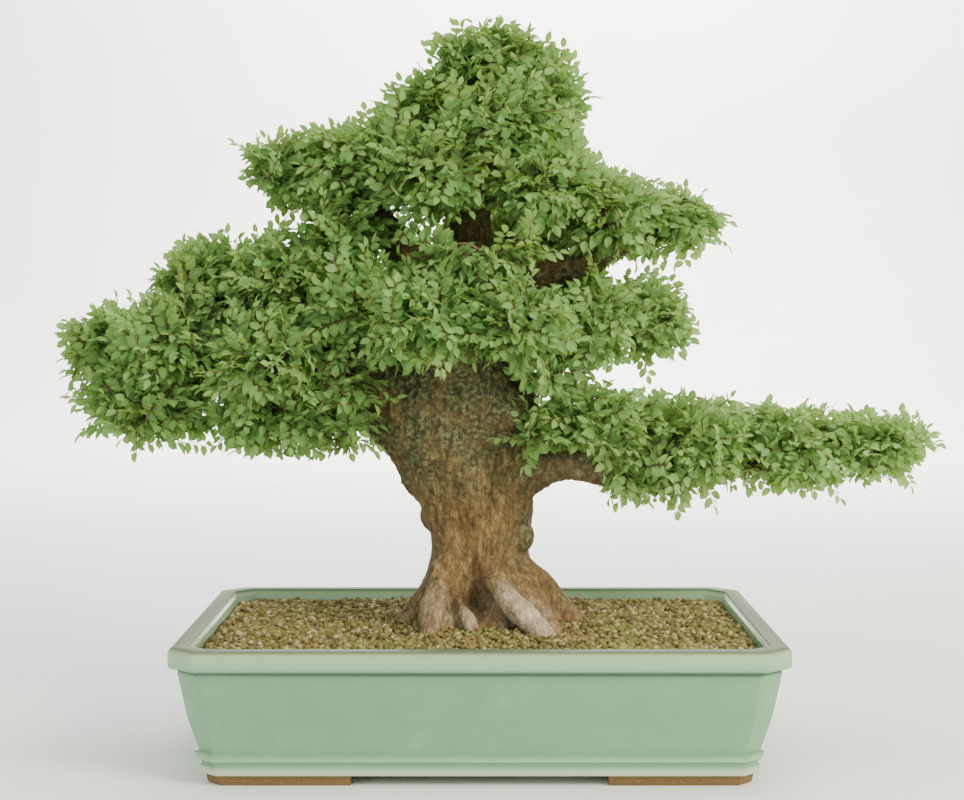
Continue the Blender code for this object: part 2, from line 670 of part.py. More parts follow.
def shoot(name, matrix, bend, collection, thickness=BLADE_THICKNESS, scale=1.0):
    """A thin arched blade in a shoot's outline, split alike on both faces."""
    bm = bmesh.new()
    face = bm.faces.new([bm.verts.new((x, y, 0)) for x, y in shoot_outline()])
    face.normal_update()
    bmesh.ops.triangulate(bm, faces=[face], quad_method="BEAUTY", ngon_method="BEAUTY")
    for vert in bm.verts:
        x, y = vert.co.x * scale, vert.co.y * scale
        vert.co = (x, y, -bend * y * y / LEAFLET_LENGTH - 0.30 * abs(x) - thickness / 2)
    grown = bmesh.ops.extrude_face_region(bm, geom=list(bm.faces))["geom"]
    lifted = [item for item in grown if isinstance(item, bmesh.types.BMVert)]
    bmesh.ops.translate(bm, verts=lifted, vec=(0, 0, thickness))
    bmesh.ops.recalc_face_normals(bm, faces=bm.faces)
    bmesh.ops.transform(bm, matrix=matrix, verts=bm.verts)
    return object_from_bmesh(bm, name, collection)


def surface_tree(target):
    graph = bpy.context.evaluated_depsgraph_get()
    return BVHTree.FromObject(target, graph)


def outside_spread(place):
    if abs(place.y) > CROWN_DEPTH or place.z > CROWN_TOP:
        return True
    return not CROWN_LEFT < place.x < CROWN_RIGHT


def shoot_matrix(centre, half, outward, rng):
    """Roots a shoot in the core, pointing out and sideways, its face outward and up."""
    along = outward.cross(Vector((0, 0, 1)))
    if along.length < 0.1:
        along = Vector((1, 0, 0))
    along = Matrix.Rotation(rng.uniform(0, math.tau), 3, outward) @ along.normalized()
    heading = outward * 0.68 + along * 0.73
    heading.z = heading.z * 0.6 + 0.08
    heading.normalize()
    face = outward * 0.8 + Vector((0, 0, 0.5))
    face = (face - heading * face.dot(heading)).normalized()
    face = Matrix.Rotation(rng.uniform(-0.4, 0.4), 3, heading) @ face
    side = heading.cross(face)
    reach = Vector([a * b for a, b in zip(outward, half)]) * CORE_DIP
    root = Vector(centre) + reach * 0.9 - heading * ROOT_SINK
    turn = Matrix((side, heading, face)).transposed().to_4x4()
    return Matrix.Translation(root) @ turn


def open_directions(half, planes, rng, count=30):
    """Directions evenly round a head that point at open space, the freest first."""
    turn = rng.uniform(0, math.tau)
    scored = []
    for i in range(count):
        height = 1 - 2 * (i + 0.5) / count
        angle = turn + i * math.pi * (3 - math.sqrt(5))
        flat = math.sqrt(1 - height * height)
        direction = Vector((flat * math.cos(angle), flat * math.sin(angle), height))
        reach = Vector([a * b for a, b in zip(direction, half)]).length
        free = free_reach(planes, direction) / reach
        if free > OPEN_SHARE:
            scored.append((min(free, 2.0) + rng.uniform(0, 0.3), i, direction))
    scored.sort(key=lambda item: -item[0])
    return [direction for free, i, direction in scored]


def add_shoots(name, core, planes, blockers, rng):
    """Sets shoots round a core where they clear all else, and joins them to it."""
    centre, half = LEAF_HEADS[name]
    held = bpy.data.collections.new(name + "_shoots")
    bpy.context.scene.collection.children.link(held)
    taken = []
    trees = []
    directions = open_directions(half, planes, rng)
    wanted = MOST_SHOOTS if len(directions) > FEW_OPEN else 1
    for direction in directions:
        if len(taken) == wanted:
            break
        if any(direction.dot(other) > 0.45 for other in taken):
            continue
        matrix = shoot_matrix(centre, half, direction, rng)
        bend = rng.uniform(0.10, 0.22)
        trial = shoot("trial", matrix, bend, held, BLADE_THICKNESS * 2.2, 1.03)
        tree = surface_tree(trial)
        too_far = any(outside_spread(vert.co) for vert in trial.data.vertices)
        discard(trial)
        if too_far or any(tree.overlap(blocker) for blocker in blockers + trees):
            continue
        blade = shoot("shoot", matrix, bend, held)
        trees.append(surface_tree(blade))
        taken.append(direction)
    if taken:
        boolean(core, held, "UNION")
    discard(held)
    return trees


def touches_itself(target):
    """True where two points of the surface that share no edge all but meet."""
    verts = target.data.vertices
    joined = {tuple(sorted(edge.vertices)) for edge in target.data.edges}
    finder = KDTree(len(verts))
    for vert in verts:
        finder.insert(vert.co, vert.index)
    finder.balance()
    for vert in verts:
        for place, index, distance in finder.find_range(vert.co, CLOSEST):
            if index > vert.index and (vert.index, index) not in joined:
                return True
    return False


def make_leaf_heads(wood, wood_cutter, parts):
    """All cores first, then shoots, then the holes that the twigs stand in."""
    draws = {name: random.Random(SEED + i) for i, name in enumerate(LEAF_HEADS)}
    planes = {name: cell_planes(name) for name in LEAF_HEADS}
    cores = {name: leaf_core(name, planes[name], draws[name], parts) for name in LEAF_HEADS}
    core_trees = {name: surface_tree(core) for name, core in cores.items()}
    wood_tree = surface_tree(wood)
    shoot_trees = []
    for name, core in cores.items():
        others = [tree for other, tree in core_trees.items() if other != name]
        blockers = [wood_tree, *others, *shoot_trees]
        plain = core.data.copy()
        for attempt in range(6):
            core.data = plain.copy()
            trees = add_shoots(name, core, planes[name], blockers, draws[name])
            boolean(core, wood_cutter, "DIFFERENCE")
            keep_largest_body(core)
            if not touches_itself(core):
                break
        shoot_trees.extend(trees)
    return list(cores.values())


def finish(objects, material, smooth_angle=None):
    for item in objects:
        item.data.materials.clear()
        item.data.materials.append(material)
        if smooth_angle is not None:
            item.data.shade_smooth()
            item.data.set_sharp_from_angle(angle=math.radians(smooth_angle))


def build():
    clear_scene()
    parts = bpy.data.collections.new("elm_bonsai")
    cutters = bpy.data.collections.new("cutters")
    bpy.context.scene.collection.children.link(parts)
    bpy.context.scene.collection.children.link(cutters)
    cutters.hide_render = True

    pot = make_pot(parts, cutters)
    screens = [make_screen("drain_screen_left", -1, parts),
               make_screen("drain_screen_right", 1, parts)]
    soil = make_soil(parts, cutters)
    wood = make_wood("trunk_roots_and_branches", parts)
    seat_in_soil(wood, cutters)
    wood_cutter = make_wood("wood_cutter", cutters, CUT_GAP)
    leaves = make_leaf_heads(wood, wood_cutter, parts)
    discard(*list(cutters.objects))

    finish([pot], make_material("celadon_glaze"), 25)
    finish(screens, make_material("screen_plastic"))
    finish([soil], make_material("soil_granules"))
    finish([wood], make_material("elm_bark"), 50)
    finish(leaves, make_material("elm_leaf"))

    middle = bpy.data.objects.new("pot_centre", None)
    parts.objects.link(middle)
    middle.location = (POT_CENTRE_X, 0, 0)
    for item in [pot, *screens, soil, wood, *leaves]:
        item.parent = middle


build()
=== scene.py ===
import math
import random
from functools import partial

import bmesh
import bpy
from mathutils import Matrix, Vector, noise
from mathutils.kdtree import KDTree


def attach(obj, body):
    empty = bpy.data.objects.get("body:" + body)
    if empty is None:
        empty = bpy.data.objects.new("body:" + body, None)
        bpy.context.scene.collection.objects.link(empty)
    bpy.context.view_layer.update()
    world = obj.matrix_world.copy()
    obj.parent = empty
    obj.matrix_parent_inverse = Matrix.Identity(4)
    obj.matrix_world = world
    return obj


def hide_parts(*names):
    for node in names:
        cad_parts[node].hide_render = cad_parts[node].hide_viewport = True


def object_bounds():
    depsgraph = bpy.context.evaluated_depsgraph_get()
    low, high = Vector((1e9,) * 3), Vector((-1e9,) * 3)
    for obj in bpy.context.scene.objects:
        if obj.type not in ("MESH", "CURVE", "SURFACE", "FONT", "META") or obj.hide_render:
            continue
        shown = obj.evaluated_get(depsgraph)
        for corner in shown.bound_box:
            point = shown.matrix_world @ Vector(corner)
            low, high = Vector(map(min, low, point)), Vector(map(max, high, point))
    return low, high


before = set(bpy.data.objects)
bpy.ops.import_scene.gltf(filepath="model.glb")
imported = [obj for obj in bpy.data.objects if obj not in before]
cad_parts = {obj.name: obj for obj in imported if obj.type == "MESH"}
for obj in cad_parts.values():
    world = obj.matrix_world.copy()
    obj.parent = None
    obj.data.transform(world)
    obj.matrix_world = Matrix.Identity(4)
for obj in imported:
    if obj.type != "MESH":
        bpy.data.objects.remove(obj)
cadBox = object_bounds()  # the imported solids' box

potCentre = Vector((-0.0191, 0, 0))  # the pot's middle, where every place below is measured from
eye = (0.00175, -1.71, 0.388)        # the camera's place; the leaves' outline is as seen from it
rimHeight = 0.1135


# Materials

def toLinear(hexColour):
    channels = [int(hexColour[i:i + 2], 16) / 255 for i in (1, 3, 5)]
    return (*[c / 12.92 if c <= 0.04045 else ((c + 0.055) / 1.055) ** 2.4 for c in channels], 1.0)


def join(node, links):
    # joins each input, by name or in order, to a socket, or sets it to a value or a hex colour
    for place, value in enumerate(links) if isinstance(links, list) else links.items():
        if isinstance(value, bpy.types.NodeSocket):
            node.id_data.links.new(value, node.inputs[place])
        else:
            node.inputs[place].default_value = toLinear(value) if isinstance(value, str) else value


def addNode(material, kind, links, stops=None, output=0, **settings):
    # adds a node and gives one output; a MapRange takes a value, from low, high, to low, high
    node = material.node_tree.nodes.new("ShaderNode" + kind)
    for name, value in settings.items():
        setattr(node, name, value)
    join(node, links)
    if stops:
        ramp = node.color_ramp.elements
        while len(ramp) < len(stops):
            ramp.new(0.5)
        for element, (position, colour) in zip(ramp, stops):
            element.position = position
            element.color = toLinear(colour) if isinstance(colour, str) else (colour, colour, colour, 1)
    return node.outputs[output]


def newMaterial(name):
    material = bpy.data.materials.new(name)
    material.use_nodes = True
    add = partial(addNode, material)
    return material, material.node_tree.nodes["Principled BSDF"], add("TexCoord", [], output="Object"), add


def celadonGlaze():
    # Stoneware under a thick pale green celadon: glossy, paler where it runs thin on edges, deeper in
    # the groove under the lip, where the glaze pools and painted shade darkens it, cream where it ends
    # low down, with a faint mottle of some 20 mm and pinholes; dull and dusty on top of the rim, where
    # watering leaves a film; the feet are bare tan clay.
    material, shader, place, add = newMaterial("celadon_glaze_on_stoneware")
    mottle = add("TexNoise", {"Vector": place, "Scale": 45, "Detail": 5, "Roughness": 0.6})
    cloud = add("TexNoise", {"Vector": place, "Scale": 9, "Detail": 2})  # 110 mm
    height = add("SeparateXYZ", [place], output="Z")
    rise = add("MapRange", [height, 0, rimHeight])
    thin = add("ValToRGB", [rise],
               [(0, 0), (0.07, 0.25), (0.10, 0.75), (0.165, 0.25), (0.19, 0.85), (0.235, 0.10),
                (0.80, 0.06), (0.835, 0), (0.86, 0.30), (0.90, 0.62), (0.985, 0.95)])
    # painted shade: a dark band in the groove under the lip, where the glaze also pools deeper
    grooveGlazeAndShade = add("ValToRGB", [rise], [(0.815, 0), (0.830, 1), (0.850, 0.9), (0.862, 0)])
    ending = add("ValToRGB", [rise], [(0.072, 0), (0.080, 0.70), (0.112, 0.55), (0.135, 0)])
    pinholes = add("TexVoronoi", {"Vector": place, "Scale": 160})  # 6 mm apart
    speck = add("ValToRGB", [pinholes], [(0.05, 0.45), (0.11, 0)])
    splashed = add("MapRange", [rise, 0.925, 0.975, 0, 0.45])
    film = add("MapRange", [rise, 0.972, 0.994, 0, 0.9])
    bare = add("MapRange", [height, 0.0085, 0.0079])
    grit = add("TexNoise", {"Vector": place, "Scale": 900, "Detail": 3})  # 1 mm
    clay = add("ValToRGB", [grit], [(0.3, "#57401f"), (0.7, "#7f6238")])
    body = add("ValToRGB", [mottle], [(0.30, "#5c8864"), (0.55, "#66936c"), (0.75, "#729e77")])
    for share, colour in ((cloud, "#618c67"), (thin, "#92b790"), (grooveGlazeAndShade, "#45694e"), (ending, "#c9c3ac"),
                          (speck, "#7a8564"), (splashed, "#949a5e"), (film, "#4a5a3c"), (bare, clay)):
        body = add("Mix", {0: share, 6: body, 7: colour}, output=2, data_type="RGBA")
    rough = add("MapRange", [bare, 0, 1, 0.16, 0.85])
    fine = add("MapRange", [mottle, 0, 1, -0.03, 0.07])
    glazed = add("Math", [rough, fine], operation="ADD")
    join(shader, {
        "Base Color": body,
        "Roughness": add("Math", [film, 0.7, glazed], operation="MULTIPLY_ADD"),
        "Normal": add("Bump", {"Height": mottle, "Strength": 0.12, "Distance": 0.0008}),
        "IOR": 1.52, "Coat Weight": 0.06, "Coat Roughness": 0.10,
    })
    return material


def elmBark():
    # Old elm bark, grown: brown, in plates about 4 mm wide and 11 mm high, with paler worn roots, a paler
    # foot of the low right limb as painted light, green-brown moss above, and painted shade in the hollow
    # between the front roots.
    material, shader, place, add = newMaterial("elm_bark")
    stretch = add("Mapping", {"Vector": place, "Scale": (1, 1, 0.40)})
    grain = add("TexNoise", {"Vector": stretch, "Scale": 190, "Detail": 8, "Roughness": 0.68})
    cloud = add("TexNoise", {"Vector": place, "Scale": 38, "Detail": 3})
    sway = add("TexNoise", {"Vector": place, "Scale": 75, "Detail": 4}, output="Color")
    swayed = add("VectorMath", [sway, (0.010, 0.010, 0.010), stretch], operation="MULTIPLY_ADD")
    plates = add("TexVoronoi", {"Vector": swayed, "Scale": 230}, feature="DISTANCE_TO_EDGE")
    crack = add("ValToRGB", [plates], [(0, 0.25), (0.12, 1)])
    warm = add("ValToRGB", [cloud], [(0.45, 0), (0.65, 0.40)])
    pale, moss, hollowPaintedShade = [add("Attribute", [], output="Fac", attribute_name=name)
                          for name in ("wearAndPaintedLight", "moss", "hollowPaintedShade")]
    # the pale colour serves worn roots and, on the low right limb's foot, painted light
    wearAndPaintedLight = add("ValToRGB", [grain], [(0.30, "#877357"), (0.50, "#b29f80"), (0.70, "#d9c8ad")])
    mossTone = add("TexNoise", {"Vector": place, "Scale": 240, "Detail": 4})  # 4 mm
    green = add("ValToRGB", [mossTone], [(0.36, "#30331a"), (0.50, "#4c4e2e"), (0.62, "#72734f")])
    brown = add("ValToRGB", [grain],
                [(0.34, "#392c17"), (0.46, "#5f4d2c"), (0.56, "#78623a"), (0.70, "#9d8a62")])
    # the near-black brown in the hollow between the front roots is painted shade
    for share, colour in ((warm, "#7f5f32"), (pale, wearAndPaintedLight), (moss, green), (hollowPaintedShade, "#33240f")):
        brown = add("Mix", {0: share, 6: brown, 7: colour}, output=2, data_type="RGBA")
    depth = add("Math", [grain, crack], operation="ADD")
    join(shader, {
        "Base Color": add("Mix", {0: 0.45, 6: brown, 7: crack}, output=2, data_type="RGBA",
                          blend_type="MULTIPLY"),
        "Normal": add("Bump", {"Height": depth, "Strength": 0.55, "Distance": 0.0009}),
        "Roughness": add("MapRange", [grain, 0, 1, 0.70, 0.92]),
        "Specular IOR Level": 0.3,
    })
    return material


def elmTwig():
    # Young elm shoots: thin smooth red-brown skin with pale pores about 1 mm apart.
    material, shader, place, add = newMaterial("young_elm_twig")
    pores = add("TexNoise", {"Vector": place, "Scale": 700, "Detail": 4})
    skin = add("ValToRGB", [pores], [(0.35, "#4a3823"), (0.55, "#6f5838"), (0.72, "#a08a63")])
    join(shader, {"Base Color": skin, "Roughness": 0.7})
    return material


def elmLeaf():
    # Living elm leaf: satin waxy face, light coming through the blade, tone differing leaf by leaf
    # and bough by bough, with yellower young leaves, and paler towards the right as painted light;
    # a pale midrib with nine side veins to a blade, each told by how far across and along it lies.
    material, shader, place, add = newMaterial("elm_leaf_blade")
    tone, across, along = [add("Attribute", [], output="Fac", attribute_name=name)
                           for name in ("tone", "across", "along")]
    rightward = add("SeparateXYZ", [place], output="X")
    # painted light: the leaves are drawn paler towards the right, where the light falls
    paintedLightRight = add("MapRange", [rightward, -0.04, 0.14, 0, 0.50])
    bough = add("TexNoise", {"Vector": place, "Scale": 14, "Detail": 2})  # 70 mm
    shade = add("MapRange", [bough, 0.35, 0.65, 0, 0.5])
    patch = add("TexNoise", {"Vector": place, "Scale": 31, "Detail": 2})  # 30 mm
    young = add("MapRange", [patch, 0.55, 0.72, 0, 0.55])
    fine = add("TexNoise", {"Vector": place, "Scale": 650, "Detail": 3})  # 1.5 mm
    mottle = add("MapRange", [fine, 0.3, 0.7, 0, 0.25])
    rib = add("MapRange", [across, 0.02, 0.12, 1, 0])
    slant = add("Math", [across, -2.2], operation="MULTIPLY")
    rows = add("Math", [along, 9, slant], operation="MULTIPLY_ADD")
    nearRow = add("Math", [rows, 0.5], operation="PINGPONG")
    side = add("MapRange", [nearRow, 0.02, 0.14, 0.55, 0])
    veins = add("Math", [rib, side], operation="MAXIMUM")
    veined = add("Math", [veins, 0.5], operation="MULTIPLY")
    green = add("ValToRGB", [tone], [(0, "#5c8545"), (0.35, "#6d9651"), (0.65, "#82ae5d"),
                                     (0.88, "#9bbd70"), (1, "#b7cb7e")])
    for share, colour in ((paintedLightRight, "#a5cb7c"), (shade, "#6f9c50"), (young, "#a2b552"), (mottle, "#608644"),
                          (veined, "#bdd196")):
        green = add("Mix", {0: share, 6: green, 7: colour}, output=2, data_type="RGBA")
    height = add("Math", [fine, veins], operation="SUBTRACT")
    join(shader, {
        "Base Color": green,
        "Normal": add("Bump", {"Height": height, "Strength": 0.3, "Distance": 0.0004}),
        "Roughness": 0.55, "Specular IOR Level": 0.22,
    })
    lit = add("Mix", {0: 0.40, 6: green, 7: "#b4cf52"}, output=2, data_type="RGBA")
    through = add("BsdfTranslucent", {"Color": lit})
    both = add("MixShader", [0.42, shader.outputs[0], through])
    join(material.node_tree.nodes["Material Output"], {"Surface": both})
    return material


def bakedClay():
    # Baked-clay granules, 4 to 6 mm: dull, dusty and porous, some tan and some grey-brown, with a
    # green film in patches of about 60 mm.
    material, shader, place, add = newMaterial("baked_clay_granules")
    tone = add("Attribute", [], output="Fac", attribute_name="tone")
    dust = add("TexNoise", {"Vector": place, "Scale": 520, "Detail": 6, "Roughness": 0.7})
    spots = add("MapRange", [dust, 0.35, 0.65, 0, 0.5])
    patch = add("TexNoise", {"Vector": place, "Scale": 17, "Detail": 3})
    film = add("MapRange", [patch, 0.48, 0.66, 0, 0.5])
    clay = add("ValToRGB", [tone],
               [(0, "#4b4121"), (0.32, "#75683b"), (0.66, "#948450"), (1, "#c8bc8d")])
    for share, colour in ((spots, "#6d6037"), (film, "#7d8040")):
        clay = add("Mix", {0: share, 6: clay, 7: colour}, output=2, data_type="RGBA")
    join(shader, {
        "Base Color": clay,
        "Normal": add("Bump", {"Height": dust, "Strength": 0.6, "Distance": 0.0006}),
        "Roughness": 0.95, "Specular IOR Level": 0.2,
    })
    return material


def soilBed():
    # The same granules deeper down, seen only as dark gaps, so drawn as a dull broken brown, its darkness
    # painted shade for the gaps between the granules.
    material, shader, place, add = newMaterial("clay_bed_painted_shade")
    cells = add("TexVoronoi", {"Vector": place, "Scale": 210})
    join(shader, {
        # the dark browns stand for painted shade in the gaps between the granules
        "Base Color": add("ValToRGB", [cells], [(0.2, "#6b5a33"), (0.7, "#3a2f18")]),
        "Normal": add("Bump", {"Height": cells, "Strength": 0.8, "Distance": 0.002}, invert=True),
        "Roughness": 0.95, "Specular IOR Level": 0.1,
    })
    return material


def screenPlastic():
    # Black polyethylene mesh, moulded: matt, with dust in its corners.
    material, shader, place, add = newMaterial("black_polyethylene_mesh")
    dust = add("TexNoise", {"Vector": place, "Scale": 400, "Detail": 4})
    skin = add("ValToRGB", [dust], [(0.45, "#191a19"), (0.75, "#3c382e")])
    join(shader, {"Base Color": skin, "Roughness": 0.6})
    return material


def studioPaper():
    # Matt seamless paper, warm off-white, faintly uneven over some 300 mm.
    material, shader, place, add = newMaterial("studio_paper")
    cloud = add("TexNoise", {"Vector": place, "Scale": 3, "Detail": 3})
    skin = add("ValToRGB", [cloud], [(0.3, "#e9ebe4"), (0.7, "#eff0ea")])
    join(shader, {"Base Color": skin, "Roughness": 0.9})
    return material


glaze = celadonGlaze()
bark = elmBark()
twigSkin = elmTwig()
leafBlade = elmLeaf()
clayGrains = bakedClay()
deepClay = soilBed()
meshPlastic = screenPlastic()
print("materials made")


# Tools shared by the pieces

def metres(table):
    # a number given in millimetres, or a list or dictionary of them
    if isinstance(table, dict):
        return {name: metres(row) for name, row in table.items()}
    return [metres(row) for row in table] if isinstance(table, (list, tuple)) else table / 1000


def addObject(name, data):
    item = bpy.data.objects.new(name, data)
    bpy.context.scene.collection.objects.link(item)
    return item


def toMesh(bm, name):
    mesh = bpy.data.meshes.new(name)
    bm.to_mesh(mesh)
    bm.free()
    return mesh


def takeMesh(bm, mesh):
    bm.from_mesh(mesh)
    bpy.data.meshes.remove(mesh)


def finishPiece(bm, name, materials, nodes, smooth=True):
    # moves a pot-centred shape to its place, makes it an object on the root body and hides the solids it
    # stands for
    bmesh.ops.translate(bm, verts=bm.verts, vec=potCentre)
    mesh = toMesh(bm, name)
    for material in materials:
        mesh.materials.append(material)
    if smooth:
        mesh.shade_smooth()
    piece = addObject(name, mesh)
    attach(piece, "root")
    if nodes:
        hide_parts(*nodes)
    return piece


def countTriangles(piece):
    return sum(len(face.vertices) - 2 for face in piece.data.polygons)


def clamp(value):
    return min(1.0, max(0.0, value))


def curveAt(a, b, c, d, t):
    # at the share t from b to c on a smooth curve, with a before them and d after
    return 0.5 * (2 * b + (c - a) * t + (2 * a - 5 * b + 4 * c - d) * t * t
                  + (3 * b - a - 3 * c + d) * t * t * t)


def smoothRoute(knots, steps):
    # a smooth curve through (x, y, z, radius) knots
    ends = [Vector(knot) for knot in (knots[0], *knots, knots[-1])]
    return [curveAt(*ends[i:i + 4], step / steps) for i in range(len(knots) - 1)
            for step in range(steps)] + [ends[-1]]


def smoothLevels(levels, steps):
    # the same through the trunk's levels, value by value
    ends = [levels[0], *levels, levels[-1]]
    return [[curveAt(*four, step / steps) for four in zip(*ends[i:i + 4])]
            for i in range(len(levels) - 1) for step in range(steps)] + [levels[-1]]


def pushOut(bm, cap):
    # extrudes a face and gives its new end, still in the same place
    grown = bmesh.ops.extrude_face_region(bm, geom=[cap, *cap.edges])["geom"]
    return next(item for item in grown if isinstance(item, bmesh.types.BMFace))


def growTube(bm, route, sides, materialIndex=0):
    # extrudes a capped ring along the route, turning and tapering it as it goes
    places = [Vector(knot[:3]) for knot in route]
    aim = (places[1] - places[0]).normalized()
    turn = aim.to_track_quat("Z", "Y")
    ring = bmesh.ops.create_circle(bm, cap_ends=True, segments=sides, radius=1.0)["verts"]
    first = cap = ring[0].link_faces[0]
    start = [vert.co.copy() for vert in cap.verts]
    faces = [cap]
    for i, place in enumerate(places):
        if i:
            ahead = places[min(i + 1, len(places) - 1)] - places[i - 1]
            turn = aim.rotation_difference(ahead) @ turn
            aim = ahead.normalized()
            cap = pushOut(bm, cap)
            faces += [face for edge in cap.edges for face in edge.link_faces]
        for vert, corner in zip(cap.verts, start):
            vert.co = place + turn @ (corner * route[i][3])
    if first.is_valid:
        first.normal_flip()
    for face in faces:
        if face.is_valid:
            face.material_index = materialIndex


# The tree's wood

wood = {
    "voxel": 0.00165,  # size of the grid that the limbs are fused on
    "mostTriangles": 175000,
    "trunkSides": 44,
    "thickSides": 14,  # of roots, and of limbs from the next radius up
    "thickFrom": 0.02,
    "thinSides": 10,
    "twigSides": 8,
    "trunkSteps": 3,  # rings from one level to the next
    "limbSteps": 8,
    "rootSteps": 4,  # of twigs too
    "flutes": 5,
    "fluteDepth": 0.055,
    "fluteTwist": 40,  # radians for each metre up
    "flareTop": 0.170,  # below it the roots swell the trunk
    "lobeHeight": 0.24,
    "lobeSharpness": 14,
    "lobeRadius": 0.015,  # a root this thick has a lobe of full height
    "valleyDepth": 0.17,  # between the roots
    "rootSmoothing": 5,  # turns of smoothing that blend the roots into the trunk's foot
    "smoothTop": 0.20,  # and how far up they reach
    "plug": (0.0345, 0.046),  # the root mass in the soil: radius and depth
    "plugDrop": 0.0265,  # from the soil's top to the middle of the plug
    "twigRadii": (0.0045, 0.0033, 0.0024),  # of the twig to a leaf head, from its foot to its end
    "twigSag": 0.004,
    "twigShortest": 0.016,
    "sway": 0.0022,  # how far limbs wander, and in how many waves to the metre
    "swayWaves": 28,
    "barkDepth": 0.0021,  # depth of the fissures on the old trunk
    "plateHeight": 0.0190,
    "plateWidth": 0.0058,
    "roughHeight": 0.0011,  # of the bark on the plates
    "knobHeight": 0.0034,
    "sinewHeight": 0.0034,
    "grainHeight": 0.0003,
    "smoothRadius": 0.006,  # limbs this thin have smooth bark
    "oldAfter": 0.030,  # and this much thicker ones have bark like the trunk's
    "rootBark": 0.026,  # front roots have the bark of a limb this thick
    "mossFrom": 0.205,
    "mossRise": 0.075,
    "mossSpot": ((0.040, -0.020, 0.186), 0.020, 0.8),  # the burr on the right: place, width, share
    "hollowPaintedShade": (-0.006, -0.050, 0.134),  # the hollow between the two front roots, sunk, and painted dark as painted shade
    "hollowDepth": 0.009,
    "paleSpots": [  # worn roots, and painted light on the foot of the low right limb: place, width, share
        ((0.024, -0.062, 0.140), 0.015, 0.7), ((0.040, -0.072, 0.128), 0.017, 1.0),
        ((0.054, -0.078, 0.116), 0.015, 1.0), ((-0.040, -0.064, 0.132), 0.018, 0.42),
        # the second spot on the next line, at the foot of the low right limb, is painted light
        ((-0.008, -0.068, 0.121), 0.011, 0.8), ((0.092, -0.030, 0.246), 0.030, 0.35),
    ],
    "levels": metres([  # height, middle x and y, half width and half depth
        (100, 7, 0, 58, 56), (122, 6, 0, 56, 54), (140, 4, 0, 51, 50), (157, 1, 0, 45, 45),
        (174, -1, 0, 42, 43), (194, -2, 0, 45, 44), (214, -5, 0, 50, 46), (234, -10, 0, 56, 49),
        (256, -14, 0, 63, 53), (282, -17, 0, 67, 56), (308, -17, 0, 66, 55), (330, -15, 0, 60, 50),
        (350, -12, 0, 50, 43),
    ]),
    "roots": [  # heading in degrees, reach, radius
        (-46, 0.086, 0.0150), (-78, 0.064, 0.0095), (-122, 0.074, 0.0150), (-170, 0.084, 0.0145),
        (142, 0.088, 0.0150), (98, 0.082, 0.0130), (48, 0.088, 0.0145), (-8, 0.088, 0.0150),
    ],
    "rootKnots": [  # share of the reach, height over the soil, share of the radius
        (0.30, 0.046, 0.80), (0.56, 0.022, 1.00), (0.80, 0.003, 0.80), (1.05, -0.010, 0.50),
    ],
    "frontRoots": metres([  # the ones the front shows best, as (x, y, z, radius) along them
        [(3, -34, 172, 9.5), (15, -52, 148, 11.5), (31, -62, 131, 12),
         (47, -70, 118, 10.5), (61, -77, 105, 7)],
        [(-26, -30, 172, 10.5), (-37, -50, 143, 11.5), (-41, -60, 124, 11),
         (-43, -68, 106, 8)],
        [(-18, -50, 138, 6), (-11, -61, 125, 7.5), (-4, -71, 111, 6)],
    ]),
    "burrs": metres([
        ((-36, -6, 204), 19), ((32, -12, 186), 16), ((-36, -29, 262), 24),
        ((26, -34, 296), 24), ((14, 34, 238), 22),
    ]),
    "limbs": metres({  # (x, y, z, radius) along them
        "leader": [(-14, 0, 315, 46), (-10, 0, 352, 40), (-6, 2, 398, 31), (-12, 4, 450, 23),
                   (-3, 2, 502, 16), (6, 0, 545, 10), (14, 0, 580, 5.5)],
        "left": [(-20, -4, 250, 44), (-56, -7, 290, 42), (-96, -10, 322, 30), (-150, -12, 340, 20),
                 (-205, -8, 338, 14), (-262, -3, 334, 9), (-316, 0, 338, 5)],
        "lowRight": [(8, -8, 226, 26), (42, -12, 240, 20), (72, -14, 250, 16.5), (115, -14, 242, 13),
                     (170, -12, 240, 10.5), (230, -8, 244, 8), (292, -4, 250, 5.8), (345, 0, 258, 3.8)],
        "upperLeft": [(-10, 0, 385, 26), (-46, -6, 418, 19), (-80, -10, 452, 14), (-112, -10, 482, 10),
                      (-165, -5, 496, 5)],
        "upperRight": [(-6, 2, 396, 25), (42, 2, 412, 17), (85, -2, 424, 13), (125, -2, 440, 9),
                       (170, 0, 452, 4.5)],
        "middleRight": [(0, -10, 335, 28), (45, -20, 349, 18), (85, -24, 356, 12), (142, -20, 364, 4.5)],
        "leftTop": [(-85, -12, 318, 20), (-110, -20, 352, 15), (-145, -24, 384, 11), (-222, -10, 398, 4.5)],
        "leftFront": [(-105, -12, 318, 18), (-132, -36, 312, 11), (-170, -44, 308, 7), (-200, -36, 302, 4)],
        "leftBack": [(-96, -2, 320, 19), (-126, 32, 324, 13), (-172, 48, 324, 9), (-250, 46, 328, 4.5)],
        "front": [(-12, -18, 322, 27), (-14, -56, 350, 17), (-6, -86, 368, 8.5), (4, -98, 374, 4.5)],
        "back": [(-12, 18, 326, 30), (-14, 60, 352, 18), (-22, 92, 376, 11), (-38, 110, 392, 5)],
        "backRight": [(-6, 10, 400, 21), (20, 48, 425, 13), (40, 86, 444, 5.5)],
    }),
}

